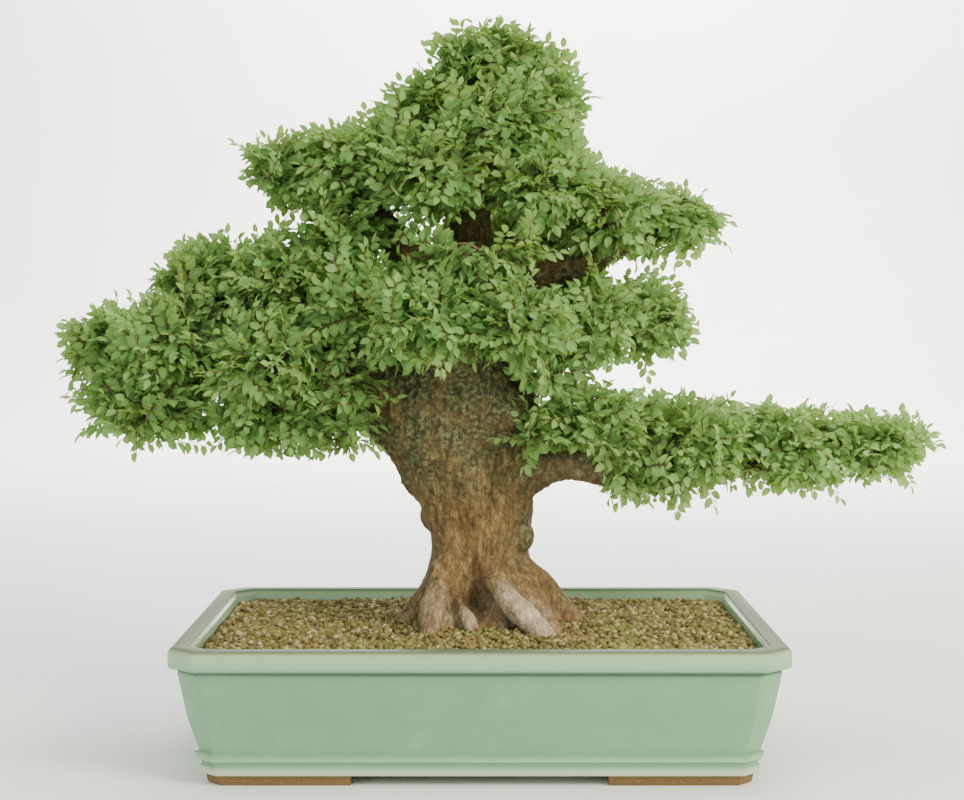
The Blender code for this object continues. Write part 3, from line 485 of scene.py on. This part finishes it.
leaves = {
    "shootsPerArea": 6000,  # per square metre of a head's outside
    "shootKinds": 8,
    "shootLength": 0.036,
    "leavesPerShoot": (8, 9, 10, 10, 11),
    "leafLength": 0.0104,
    "leafWidth": 0.0066,
    "blade": [(0.0, 0.02), (0.30, 0.92), (0.68, 0.86), (1.0, 0.0)],  # share along and half width there
    "fold": 0.34,
    "curl": 0.22,
    "droop": 0.10,  # of a shoot, as a share of its length
    "zigzag": 0.0011,
    "twigRadius": 0.0006,
    "branchlets": 12,
    "branchletReach": (0.52, 0.72),
    "branchletRadii": (0.0021, 0.0014, 0.0008),
    "reach": (0.50, 0.92),  # how far out in its head the middle of a shoot lies
    "strays": 0.07,  # share of the shoots that stand out of the outline
    "strayReach": (0.98, 1.16),
    "pulls": (1.0, 0.84, 0.68, 0.52),  # tried in turn until a shoot fits the outline
    "beyond": 0.004,  # how far a tip may pass the solids' box
    "halfDepth": 0.176,
    "leftEdge": metres([  # height and how far the leaves reach there, seen from the front
        (643, -22), (632, -35), (615, -57), (593, -60), (580, -83),
        (567, -98), (551, -118), (538, -197), (523, -212), (501, -215),
        (486, -191), (475, -171), (460, -197), (453, -254), (435, -280),
        (418, -290), (405, -311), (392, -337), (376, -374), (352, -371),
        (317, -369), (278, -364), (269, -333), (259, -289), (252, -83),
    ]),
    "rightEdge": metres([
        (643, 22), (632, 44), (615, 81), (593, 93), (567, 102), (540, 88),
        (523, 98), (507, 124), (495, 184), (479, 212), (460, 226), (444, 206),
        (431, 189), (413, 168), (396, 184), (372, 198), (348, 189), (336, 168),
        (317, 165), (307, 280), (300, 372), (290, 396), (265, 413), (250, 385),
        (234, 364), (224, 341), (215, 245), (204, 193),
    ]),
    "sprays": {  # small ones between the heads: middle and half reach in mm, number of shoots
        "left_near_low": ((-118, -58, 284), (30, 22, 26), 34),
        "left_near_front": ((-112, -76, 322), (30, 22, 24), 26),
        "low_right_inner": ((48, -64, 274), (20, 18, 26), 26),
        "low_right_middle": ((128, -36, 236), (34, 24, 16), 30),
        "middle_right_front": ((58, -70, 330), (26, 20, 18), 22),
    },
    "wisps": metres({  # single shoots that stand out of the crown, by where their tips are
        "apex_right": [(100, -4, 572), (101, 4, 530)],
        "apex_top": [(16, 0, 639), (-36, -6, 622)],
        "upper_left_tip": [(-216, -10, 532), (-212, 4, 500)],
        "upper_right_tip": [(224, -6, 462), (222, 6, 440)],
        "middle_right_tip": [(192, -20, 372), (186, -12, 350)],
        "left_far_tip": [(-371, 0, 377), (-366, -8, 330)],
        "left_far_low": [(-352, -30, 276), (-300, -40, 252)],
        "left_top_tip": [(-262, -14, 448)],
        "low_right_tip": [(410, 0, 268), (386, -10, 222)],
        "low_right_middle": [(166, -40, 200), (206, -30, 212)],
        "low_right_outer": [(256, -24, 222), (318, -16, 218)],
    }),
    "gaps": metres([  # middle across and up, half width and half height, and how far back it is clear
        (-2, 450, 28, 15, 30), (-84, 458, 8, 20, 30), (70, 420, 34, 9, 30), (96, 417, 40, 3, 300),
        (44, 410, 14, 4, 300), (76, 245, 36, 18, 30), (145, 326, 38, 8, 300), (-175, 466, 16, 6, 300),
    ]),
    "heads": metres({  # middle, half reach
        "apex_top": ((12, 0, 598), (54, 48, 42)),
        "apex_left": ((-38, 4, 552), (46, 46, 40)),
        "apex_right": ((58, 2, 556), (40, 44, 44)),
        "apex_front": ((12, -52, 536), (50, 36, 42)),
        "apex_back": ((8, 56, 532), (54, 40, 46)),
        "upper_left_tip": ((-176, -4, 507), (42, 42, 34)),
        "upper_left_front": ((-110, -32, 514), (48, 40, 36)),
        "upper_left_back": ((-100, 44, 512), (54, 44, 38)),
        "upper_left_inner": ((-40, -64, 494), (50, 36, 40)),
        "left_shoulder": ((-116, -34, 450), (40, 36, 32)),
        "upper_right_inner": ((52, -60, 490), (46, 36, 38)),
        "upper_right_front": ((112, -34, 470), (46, 40, 36)),
        "upper_right_back": ((112, 46, 470), (52, 44, 38)),
        "upper_right_tip": ((180, -2, 462), (42, 40, 32)),
        "left_top_tip": ((-236, -10, 410), (50, 44, 36)),
        "left_top_front": ((-170, -50, 408), (50, 38, 38)),
        "left_top_inner": ((-102, -72, 392), (46, 38, 36)),
        "left_top_back": ((-176, 50, 404), (56, 44, 38)),
        "left_far_tip": ((-325.5, 0, 350), (44, 42, 38)),
        "left_far_low": ((-284, -34, 304), (58, 40, 36)),
        "left_far_front": ((-262, -50, 356), (50, 40, 38)),
        "left_far_back": ((-270, 54, 338), (54, 44, 40)),
        "left_near_low": ((-176, -46, 298), (60, 42, 39)),
        "left_near_front": ((-176, -86, 342), (52, 38, 40)),
        "left_near_back": ((-166, 66, 312), (56, 44, 38)),
        "centre_front_left": ((-46, -106, 376), (46, 38, 36)),
        "centre_front_right": ((34, -104, 374), (46, 38, 36)),
        "centre_front_high": ((0, -80, 432), (54, 38, 34)),
        "middle_right_tip": ((148, -22, 374), (42, 40, 34)),
        "middle_right_front": ((94, -62, 374), (44, 38, 38)),
        "middle_right_back": ((98, 48, 376), (50, 42, 38)),
        "low_right_inner": ((96, -48, 284), (52, 40, 36)),
        "low_right_middle": ((180, -32, 268), (56, 44, 40)),
        "low_right_outer": ((270, -10, 267), (56, 44, 40)),
        "low_right_tip": ((350, 0, 266), (48, 40, 34)),
        "low_right_back": ((188, 46, 272), (58, 40, 37)),
        "back_high": ((52, 112, 452), (56, 44, 40)),
        "back_middle": ((-50, 124, 400), (56, 42, 40)),
        "back_low": ((34, 120, 364), (52, 42, 38)),
    }),
}

soil = {
    "edgeHeight": 0.1030,  # about 10 mm below the rim
    "mound": 0.0125,
    "moundSpread": 0.105,
    "mid": 0.007,
    "halfLength": 0.2305,
    "halfWidth": 0.1600,
    "cornerCut": 0.0185,
    "clearRadius": 0.042,  # no granules under the trunk
    "pitch": 0.0047,
    "rowShare": 0.87,  # from row to row, as a share of the pitch
    "margin": 0.002,
    "kinds": 8,
    "sizes": (0.0021, 0.0033),  # radii
    "jitter": 0.0013,
    "loose": 0.14,  # share of the granules that lie on the others
}


def soilHeight(x, y):
    away = math.hypot(x - soil["mid"], y)
    return soil["edgeHeight"] + soil["mound"] * math.exp(-(away / soil["moundSpread"]) ** 2)


def trunkRing(level):
    # an oval, fluted, and lobed where the roots leave it
    height, midX, midY, halfX, halfY = level
    low = wood["levels"][0][0]
    flare = max(0.0, (wood["flareTop"] - height) / (wood["flareTop"] - low))
    ring = []
    for i in range(wood["trunkSides"]):
        angle = math.tau * i / wood["trunkSides"]
        share = 1 + wood["fluteDepth"] * math.sin(wood["flutes"] * angle + wood["fluteTwist"] * height)
        lobes = [max(0.0, math.cos(angle - math.radians(heading))) ** wood["lobeSharpness"] * radius
                 / wood["lobeRadius"] for heading, reach, radius in wood["roots"]]
        share += flare * (wood["lobeHeight"] * sum(lobes) - wood["valleyDepth"] * (1 - min(1.0, max(lobes))))
        ring.append(Vector((midX + halfX * share * math.cos(angle),
                            midY + halfY * share * math.sin(angle), height)))
    return ring


def growTrunk(bm):
    verts = bmesh.ops.create_circle(bm, cap_ends=True, segments=wood["trunkSides"], radius=1.0)["verts"]
    cap = verts[0].link_faces[0]
    cap.normal_flip()
    for count, level in enumerate(smoothLevels(wood["levels"], wood["trunkSteps"])):
        if count:
            cap = pushOut(bm, cap)
        for vert, point in zip(cap.verts, trunkRing(level)):
            vert.co = point


def rootRoute(heading, reach, radius):
    along = Vector((math.cos(math.radians(heading)), math.sin(math.radians(heading)), 0))
    knots = []
    for away, above, share in wood["rootKnots"]:
        spot = along * reach * away
        ground = soilHeight(soil["mid"] + spot.x, spot.y)
        knots.append((soil["mid"] + spot.x, spot.y, ground + above, radius * share))
    return smoothRoute(knots, wood["rootSteps"])


limbRoutes = [smoothRoute(knots, wood["limbSteps"]) for knots in wood["limbs"].values()]


def twigRoute(centre):
    # from the nearest limb up into the middle of a leaf head, or nothing beside a limb
    limb = min((knot for route in limbRoutes for knot in route[4:-3]),
               key=lambda knot: (Vector(knot[:3]) - centre).length)
    start = Vector(limb[:3])
    if (start - centre).length < wood["twigShortest"] + limb[3] / 2:
        return []
    foot, middle, end = wood["twigRadii"]
    bend = start.lerp(centre, 0.5) - Vector((0, 0, wood["twigSag"]))
    knots = [(*start, min(limb[3] * 0.8, foot)), (*bend, middle), (*centre, end)]
    return smoothRoute(knots, wood["rootSteps"])


headTwigs = [twigRoute(Vector(centre)) for centre, half in leaves["heads"].values()]


def wander(route, seed):
    # a grown limb is never quite straight
    out = []
    for i, knot in enumerate(route):
        place = Vector(knot[:3])
        if 0 < i < len(route) - 1:
            place += noise.noise_vector(place * wood["swayWaves"] + Vector((seed, 0, 0))) * wood["sway"]
        out.append((*place, knot[3]))
    return out


def fuseLimbs():
    bm = bmesh.new()
    growTrunk(bm)
    for root in wood["roots"]:
        growTube(bm, rootRoute(*root), wood["thickSides"])
    for knots in wood["frontRoots"]:
        growTube(bm, smoothRoute(knots, wood["rootSteps"]), wood["thickSides"])
    for centre, radius in wood["burrs"]:
        bmesh.ops.create_icosphere(bm, subdivisions=3, radius=radius, matrix=Matrix.Translation(centre))
    for count, route in enumerate(limbRoutes):
        thick = route[0][3] > wood["thickFrom"]
        growTube(bm, wander(route, count), wood["thickSides"] if thick else wood["thinSides"])
    for route in filter(None, headTwigs):
        growTube(bm, route, wood["twigSides"])
    radius, depth = wood["plug"]
    middle = soilHeight(soil["mid"], 0) - wood["plugDrop"]
    bmesh.ops.create_cone(bm, cap_ends=True, segments=32, radius1=radius, radius2=radius, depth=depth,
                          matrix=Matrix.Translation((soil["mid"], 0, middle)))
    bmesh.ops.recalc_face_normals(bm, faces=bm.faces)
    rough = addObject("limbs", toMesh(bm, "limbs"))
    remesh = rough.modifiers.new("fuse", "REMESH")
    remesh.mode = "VOXEL"
    remesh.voxel_size = wood["voxel"]
    fused = bpy.data.meshes.new_from_object(rough.evaluated_get(bpy.context.evaluated_depsgraph_get()))
    bpy.data.objects.remove(rough)
    return fused


def gauss(distance, width):
    return math.exp(-(distance / width) ** 2)


def nearestLimbs():
    knots = [knot for route in limbRoutes for knot in route]
    knots += [(level[1], level[2], level[0], level[3])
              for level in smoothLevels(wood["levels"], wood["trunkSteps"])]
    for root in wood["roots"]:
        knots += rootRoute(*root)
    for route in wood["frontRoots"]:
        knots += [(*knot[:3], wood["rootBark"]) for knot in smoothRoute(route, wood["rootSteps"])]
    for route in headTwigs:
        knots += route
    tree = KDTree(len(knots))
    for i, knot in enumerate(knots):
        tree.insert(Vector(knot[:3]), i)
    tree.balance()
    return tree, knots


def barkHeight(place, radius):
    # cracks between plates, and rough bark on them; thin limbs have little of either
    cell = Vector((place.x / wood["plateWidth"], place.y / wood["plateWidth"], place.z / wood["plateHeight"]))
    warp = noise.noise_vector(place * 70) * 1.1
    distances = noise.voronoi(cell + warp)[0]
    crack = min(1.0, (distances[1] - distances[0]) * 1.8)
    upright = Vector((place.x * 230, place.y * 230, place.z * 95))  # grain 4 mm wide and 10 mm high
    rough = noise.fractal(upright, 1.0, 2.0, 4)
    old = clamp((radius - wood["smoothRadius"]) / wood["oldAfter"])
    smoothLow = 0.45 + 0.55 * clamp((place.z - 0.17) / 0.08)  # the roots are worn smoother
    knobs = noise.noise(place * 46) * wood["knobHeight"]  # 20 mm apart
    sinews = noise.noise(Vector((place.x * 85, place.y * 85, place.z * 17))) * wood["sinewHeight"]
    fissures = smoothLow * (wood["barkDepth"] * (crack - 0.65) + wood["roughHeight"] * rough)
    return old * (fissures + knobs + sinews) + wood["grainHeight"] * rough * min(1.0, radius / 0.010)


def dressBark(piece):
    mesh = piece.data
    tree, knots = nearestLimbs()
    normals = [vert.normal.copy() for vert in mesh.vertices]  # read before any point moves
    for vert, normal in zip(mesh.vertices, normals):
        place = vert.co - potCentre
        spot, index, distance = tree.find(place)
        sunk = wood["hollowDepth"] * gauss((place - Vector(wood["hollowPaintedShade"])).length, 0.012)
        vert.co += normal * (barkHeight(place, knots[index][3]) - sunk)


def paintBark(piece):
    # how mossy, how pale from wear and from painted light, and how dark from painted shade in the hollow, at
    # each point
    mesh = piece.data
    moss, wearAndPaintedLight, hollowPaintedShade = [mesh.attributes.new(name, "FLOAT", "POINT") for name in ("moss", "wearAndPaintedLight", "hollowPaintedShade")]
    paleSpots = [(Vector(spot), width, share) for spot, width, share in wood["paleSpots"]]
    mossSpot, mossWidth, mossShare = wood["mossSpot"]
    for i, vert in enumerate(mesh.vertices):
        place = vert.co - potCentre
        patch = noise.fractal(place * 42, 1.0, 2.0, 3)
        up = clamp((place.z - wood["mossFrom"]) / wood["mossRise"])
        sky = 0.5 + 0.5 * vert.normal.z
        green = up * (0.72 + 0.9 * patch) + 0.35 * sky * up
        green += mossShare * gauss((place - Vector(mossSpot)).length, mossWidth)
        thin = 0.5 if place.z > 0.42 or abs(place.x) > 0.13 else 1.0  # less on the crown's limbs
        moss.data[i].value = min(0.95, max(0.0, green * thin))
        # pale spots: worn roots, and painted light on the low right limb's foot
        pale = sum(share * gauss((place - spot).length, width) for spot, width, share in paleSpots)
        low = 0.18 * gauss(place.z - 0.112, 0.022)
        wearAndPaintedLight.data[i].value = clamp(pale + low * (0.7 + patch))
        # painted shade in the hollow between the front roots
        hollowPaintedShade.data[i].value = 0.85 * gauss((place - Vector(wood["hollowPaintedShade"])).length, 0.014)


def makeWood():
    bm = bmesh.new()
    bm.from_mesh(fuseLimbs())
    evenly = {"factor": 0.5, "use_axis_x": True, "use_axis_y": True, "use_axis_z": True}
    bmesh.ops.smooth_vert(bm, verts=bm.verts, **evenly)
    low = [vert for vert in bm.verts if vert.co.z < wood["smoothTop"]]
    for turn in range(wood["rootSmoothing"]):
        bmesh.ops.smooth_vert(bm, verts=low, **evenly)
    piece = finishPiece(bm, "trunk_roots_and_limbs", [bark], ["trunk_roots_and_branches"])
    dressBark(piece)
    many = countTriangles(piece)
    if many > wood["mostTriangles"]:
        thin = piece.modifiers.new("thin", "DECIMATE")
        thin.ratio = wood["mostTriangles"] / many
        graph = bpy.context.evaluated_depsgraph_get()
        piece.data = bpy.data.meshes.new_from_object(piece.evaluated_get(graph))
        piece.modifiers.clear()
    piece.data.shade_smooth()
    paintBark(piece)
    print("wood:", countTriangles(piece), "triangles")


makeWood()


# The leaves

def leafLayers(bm):
    # a tone for each face, and for each point how far across and along its blade it lies
    return (bm.faces.layers.float.new("tone"), bm.verts.layers.float.new("across"),
            bm.verts.layers.float.new("along"))


def leafMesh(bm, matrix, length, width, tone, layers, rng):
    # one blade, folded along its midrib and curled down at the tip
    verts = bmesh.ops.create_grid(bm, x_segments=2, y_segments=3, size=0.5)["verts"]
    toneLayer, acrossLayer, alongLayer = layers
    lean = rng.uniform(-0.06, 0.06)
    for vert in verts:
        along, wide = leaves["blade"][round((vert.co.y + 0.5) * 3)]
        across = vert.co.x * 2
        vert[acrossLayer] = abs(across)
        vert[alongLayer] = along
        reach = wide * width / 2
        lift = leaves["fold"] * abs(across) * reach - leaves["curl"] * length * along * along
        side = across * reach * (1 + 0.08 * across)  # an elm's leaf is a little wider on one side
        vert.co = matrix @ Vector((side + lean * length * math.sin(math.pi * along), along * length, lift))
        for face in vert.link_faces:
            face[toneLayer] = tone
    bmesh.ops.remove_doubles(bm, verts=verts, dist=0.00018)


def shootMesh(kind):
    # a twig with its leaves to left and right in turn, all near one plane, along +Y with faces up +Z
    rng = random.Random(100 + kind)
    bm = bmesh.new()
    layers = leafLayers(bm)
    length = leaves["shootLength"] * rng.uniform(0.8, 1.1)
    count = rng.choice(leaves["leavesPerShoot"])
    route = []
    for i in range(5):
        share = i / 4
        zig = leaves["zigzag"] * (1 if i % 2 else -1)
        sag = leaves["droop"] * length * share * share
        route.append((zig, share * length, -sag, leaves["twigRadius"] * (1.15 - 0.7 * share)))
    growTube(bm, route, 3, 1)
    for i in range(count):
        share = (i + 0.6) / count
        side = 1 if i % 2 else -1
        size = rng.uniform(0.80, 1.18) * (0.86 + 0.3 * math.sin(math.pi * min(share + 0.1, 1)))
        angle = 0.1 if i == count - 1 else math.radians(rng.uniform(38, 66))
        turn = Matrix.Rotation(-side * angle, 4, "Z")
        roll = Matrix.Rotation(rng.uniform(-0.55, 0.55), 4, "Y")
        pitch = Matrix.Rotation(rng.uniform(-0.45, 0.35), 4, "X")
        spot = Vector((side * 0.0008, share * length, -leaves["droop"] * length * share * share))
        tone = clamp(rng.gauss(0.46, 0.20) + (0.22 if share > 0.8 else 0.0))  # young at the tip
        leafMesh(bm, Matrix.Translation(spot) @ turn @ pitch @ roll, leaves["leafLength"] * size,
                 leaves["leafWidth"] * size * rng.uniform(0.9, 1.1), tone, layers, rng)
    return toMesh(bm, "shoot")


def tooFar(place):
    low, high = cadBox
    beyond = leaves["beyond"]
    spot = place + potCentre
    return not (low.x - beyond < spot.x < high.x + beyond and abs(spot.y) < leaves["halfDepth"]
                and spot.z < high.z + beyond)


def reachAt(edge, height):
    # how far the edge lies at this height, between its two nearest rows
    for (upper, a), (lower, b) in zip(edge, edge[1:]):
        if upper >= height > lower:
            return a + (b - a) * (upper - height) / (upper - lower)
    return 0.0


def offOutline(*places):
    # whether any of the places, seen by the camera, is outside the leaves' edges or in a gap
    seenBy = Vector(eye)
    for place in places:
        nearer = -seenBy.y / (place.y - seenBy.y)
        across = seenBy.x + (place.x - seenBy.x) * nearer
        up = seenBy.z + (place.z - seenBy.z) * nearer
        if not reachAt(leaves["leftEdge"], up) <= across <= reachAt(leaves["rightEdge"], up):
            return True
        for midX, midZ, halfX, halfZ, back in leaves["gaps"]:
            if place.y < back and ((across - midX) / halfX) ** 2 + ((up - midZ) / halfZ) ** 2 < 1:
                return True
    return False


def outward(i, count, jitter, rng):
    # one of count directions spread evenly all round, a little off its place
    height = 1 - 2 * (i + 0.5) / count
    angle = i * math.pi * (3 - math.sqrt(5)) + rng.uniform(-jitter, jitter)
    flat = math.sqrt(1 - height * height)
    return Vector((flat * math.cos(angle), flat * math.sin(angle), height))


def placeShoot(head, base, heading, face, scale):
    # one shoot from base along heading, with a thin twig to the nearest branchlet
    blades, twigs, bones, shoots, rng = head
    face = (face - heading * face.dot(heading)).normalized()
    turn = Matrix((heading.cross(face), heading, face)).transposed().to_4x4()
    copy = shoots[rng.randrange(len(shoots))].copy()
    copy.transform(Matrix.Translation(base) @ turn @ Matrix.Scale(scale, 4))
    takeMesh(blades, copy)
    bone = min(bones, key=lambda spot: (spot - base).length)
    if (bone - base).length > 0.002:
        growTube(twigs, [(*bone, 0.0007), (*base, 0.0006)], 3, 1)


def addShoots(head, centre, half, wanted):
    # turns over the whole outside, each shoot facing out and up; one that never fits is left out
    rng = head[-1]
    for i in range(wanted):
        out = outward(i, wanted, 0.15, rng)
        stray = rng.random() < leaves["strays"]
        share = rng.uniform(*leaves["strayReach" if stray else "reach"])
        side = out.cross(Vector([rng.gauss(0, 1) for axis in range(3)])).normalized()
        heading = out * rng.uniform(0.5, 1.1) + side * rng.uniform(0.2, 0.9) + Vector((0, 0, 0.25))
        heading = heading.normalized()
        face = out * 0.55 + Vector((0, 0, 0.75)) + Vector([rng.gauss(0, 0.28) for axis in range(3)])
        scale = rng.uniform(0.86, 1.12)
        for pull in leaves["pulls"]:
            middle = centre + out * half * share * pull
            base = middle - heading * leaves["shootLength"] * 0.5 * scale
            tip = middle + heading * leaves["shootLength"] * 0.75 * scale
            if not tooFar(tip) and not offOutline(base, middle, tip):
                placeShoot(head, base, heading, face, scale)
                break


def headShape(name, shoots):
    centre, half = [Vector(values) for values in leaves["heads"][name]]
    rng = random.Random(name)
    blades, twigs, bones = bmesh.new(), bmesh.new(), []
    leafLayers(blades)
    for i in range(leaves["branchlets"]):
        out = outward(i, leaves["branchlets"], 0.3, rng)
        end = centre + out * half * rng.uniform(*leaves["branchletReach"])
        middle = centre.lerp(end, 0.5) + Vector([rng.uniform(-0.004, 0.004) for axis in range(3)])
        if offOutline(end) and i < leaves["branchlets"] - 2:  # the two lowest always stay
            continue
        knots = [(*place, radius) for place, radius in zip((centre, middle, end), leaves["branchletRadii"])]
        route = smoothRoute(knots, 2)
        growTube(twigs, route, 4, 1)
        bones += [Vector(knot[:3]) for knot in route]
    head = blades, twigs, bones, shoots, rng
    area = 4 * math.pi * (sum(half) / 3) ** 2
    addShoots(head, centre, half, round(area * leaves["shootsPerArea"]))
    if name in leaves["sprays"]:
        near, reach, count = leaves["sprays"][name]
        addShoots(head, Vector(metres(near)), Vector(metres(reach)), count)
    for tip in leaves["wisps"].get(name, []):
        heading = (Vector(tip) - centre).normalized()
        base = Vector(tip) - heading * leaves["shootLength"] * 1.15
        placeShoot(head, base, heading, (Vector((0, -0.4, 1)) - heading * heading.z).normalized(), 1.0)
    takeMesh(blades, toMesh(twigs, "twigs"))
    return blades


def makeLeaves():
    shoots = [shootMesh(kind) for kind in range(leaves["shootKinds"])]
    total = 0
    for name in leaves["heads"]:
        piece = finishPiece(headShape(name, shoots), "leafy_" + name, [leafBlade, twigSkin],
                            ["leaves_" + name], smooth=False)
        total += countTriangles(piece)
    print("leaves:", total, "triangles")


makeLeaves()


# The soil

def granuleKind(rng):
    bm = bmesh.new()
    bmesh.ops.create_icosphere(bm, subdivisions=1, radius=1.0)
    for vert in bm.verts:
        vert.co *= rng.uniform(0.78, 1.16)
    bm.faces.layers.float.new("tone")
    return toMesh(bm, "granule")


def onBed(place, size):
    # whether a granule lies inside the pot's inner outline and clear of the trunk
    x, y = abs(place.x), abs(place.y)
    return (x <= soil["halfLength"] - size and y <= soil["halfWidth"] - size
            and x + y <= soil["halfLength"] + soil["halfWidth"] - soil["cornerCut"] - size
            and math.hypot(place.x - soil["mid"], place.y) >= soil["clearRadius"])


def makeSoil():
    rng = random.Random(11)
    kinds = [granuleKind(rng) for kind in range(soil["kinds"])]
    bm = bmesh.new()
    bm.faces.layers.float.new("tone")
    pitch, jitter = soil["pitch"], soil["jitter"]
    rows = int(2 * soil["halfWidth"] / (pitch * soil["rowShare"]))
    columns = int(2 * soil["halfLength"] / pitch)
    done = 0
    for row in range(rows + 1):
        line = bmesh.new()
        line.faces.layers.float.new("tone")
        y = -soil["halfWidth"] + soil["margin"] + row * pitch * soil["rowShare"]
        for column in range(columns + 1):
            x = -soil["halfLength"] + soil["margin"] + (column + 0.5 * (row % 2)) * pitch
            place = Vector((x + rng.uniform(-jitter, jitter), y + rng.uniform(-jitter, jitter), 0))
            size = rng.uniform(*soil["sizes"])
            if not onBed(place, size):
                continue
            place.z = soilHeight(place.x, place.y) + rng.uniform(-0.0010, 0.0007)
            if rng.random() < soil["loose"]:
                place.z += rng.uniform(0.0010, 0.0026)
            copy = kinds[rng.randrange(soil["kinds"])].copy()
            turn = Matrix.Rotation(rng.uniform(0, 6.28), 4, "Z")
            turn = turn @ Matrix.Rotation(rng.uniform(0, 6.28), 4, "X")
            flatness = Matrix.Diagonal((1.0, rng.uniform(0.8, 1.1), rng.uniform(0.7, 1.0), 1.0))
            copy.transform(Matrix.Translation(place) @ turn @ flatness @ Matrix.Scale(size, 4))
            values = copy.attributes["tone"].data
            values.foreach_set("value", [clamp(rng.gauss(0.47, 0.28))] * len(values))
            takeMesh(line, copy)
            done += 1
        takeMesh(bm, toMesh(line, "row"))
    piece = finishPiece(bm, "loose_granules", [clayGrains], [])
    print("granules:", done, "with", countTriangles(piece), "triangles")


makeSoil()
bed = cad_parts["soil"]
bed.data.materials.clear()
bed.data.materials.append(deepClay)


# The pot and its drainage meshes

pot = {
    "merge": 0.00002,
    "sharp": 18,  # degrees from which an edge is rounded by the glaze
    "glazeRadius": 0.0007,
    "screenHalf": 0.0185,
    "screenCells": 13,
    "wire": 0.0009,
    "screenSide": 0.115,  # how far the drain holes lie from the middle
    "screenHeight": 0.0204,
}


def makePot():
    bm = bmesh.new()
    bm.from_mesh(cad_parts["pot"].data)
    bmesh.ops.remove_doubles(bm, verts=bm.verts, dist=pot["merge"])
    bmesh.ops.dissolve_limit(bm, angle_limit=math.radians(1), verts=bm.verts, edges=bm.edges)
    least = math.radians(pot["sharp"])
    sharp = [edge for edge in bm.edges if edge.is_manifold and edge.calc_face_angle(0) > least]
    bmesh.ops.bevel(bm, geom=sharp, offset=pot["glazeRadius"], segments=2, profile=0.5, affect="EDGES",
                    material=-1, clamp_overlap=True)
    bmesh.ops.translate(bm, verts=bm.verts, vec=-potCentre)
    piece = finishPiece(bm, "glazed_pot", [glaze], ["pot"])
    piece.data.set_sharp_from_angle(angle=math.radians(35))
    print("pot:", countTriangles(piece), "triangles")


def makeScreen(name, side):
    cells = pot["screenCells"]
    bm = bmesh.new()
    bmesh.ops.create_grid(bm, x_segments=cells, y_segments=cells, size=pot["screenHalf"])
    bmesh.ops.wireframe(bm, faces=bm.faces, thickness=pot["wire"], use_boundary=True, use_even_offset=True,
                        use_replace=True)
    bmesh.ops.translate(bm, verts=bm.verts, vec=(side * pot["screenSide"], 0, pot["screenHeight"]))
    finishPiece(bm, name + "_mesh", [meshPlastic], [name], smooth=False)


makePot()
for name, side in (("drain_screen_left", -1), ("drain_screen_right", 1)):
    makeScreen(name, side)
print("drainage meshes made")


# Floor, lights and camera

studio = {
    "floorFront": -3.0,
    "floorBack": 3.8,
    "sweep": 0.9,
    "wallTop": 4.0,
    "halfWidth": 5.0,
    "worldColour": "#f4f6f2",
    "worldStrength": 1.22,
    "lamps": [  # name, place, aim, size, watts, colour
        ("key", (2.1, -1.8, 1.6), (0.05, 0.0, 0.32), 1.3, 122, "#fff6e6"),
        ("fill", (-1.6, -2.2, 1.0), (0.0, 0.0, 0.30), 1.8, 24, "#eef4ff"),
        ("top", (0.0, 0.2, 2.3), (0.0, 0.0, 0.30), 1.6, 22, "#ffffff"),
        ("backdrop", (0.3, 3.3, 2.6), (0.3, 4.7, 0.3), 2.4, 400, "#ffffff"),
    ],
    "lens": 73.0,
    "sensor": 36.0,
    "lookDown": 2.81,  # degrees
}


def makeFloor():
    bm = bmesh.new()
    wide = studio["halfWidth"]
    front = bm.verts.new((-wide, studio["floorFront"], 0))
    back = bm.verts.new((-wide, studio["floorBack"], 0))
    bm.edges.new((front, back))
    bend = bmesh.ops.spin(bm, geom=[back], cent=(-wide, studio["floorBack"], studio["sweep"]), axis=(1, 0, 0),
                          angle=math.pi / 2, steps=16)["geom_last"]
    bend = [item for item in bend if isinstance(item, bmesh.types.BMVert)]
    for vert in bmesh.ops.extrude_vert_indiv(bm, verts=bend)["verts"]:
        vert.co.z = studio["wallTop"]
    grown = bmesh.ops.extrude_edge_only(bm, edges=bm.edges)["geom"]
    for item in grown:
        if isinstance(item, bmesh.types.BMVert):
            item.co.x = wide
    bmesh.ops.recalc_face_normals(bm, faces=bm.faces)
    mesh = toMesh(bm, "studio_floor")
    mesh.materials.append(studioPaper())
    mesh.shade_smooth()
    addObject("studio_floor", mesh)


def makeLight():
    world = bpy.data.worlds.new("studio")
    bpy.context.scene.world = world
    world.use_nodes = True
    join(world.node_tree.nodes["Background"], {0: studio["worldColour"], 1: studio["worldStrength"]})
    for name, place, aim, size, watts, colour in studio["lamps"]:
        lamp = bpy.data.lights.new(name, "AREA")
        lamp.shape = "DISK"
        lamp.size = size
        lamp.energy = watts
        lamp.color = toLinear(colour)[:3]
        item = addObject(name, lamp)
        item.location = place
        item.rotation_euler = (Vector(aim) - Vector(place)).to_track_quat("-Z", "Y").to_euler()


def makeCamera():
    lens = bpy.data.cameras.new("camera")
    lens.lens = studio["lens"]
    lens.sensor_width = studio["sensor"]
    lens.clip_end = 30.0
    camera = addObject("camera", lens)
    camera.location = (potCentre.x + eye[0], *eye[1:])
    camera.rotation_euler = (math.radians(90 - studio["lookDown"]), 0, 0)
    bpy.context.scene.camera = camera


makeFloor()
makeLight()
makeCamera()
print("studio made")
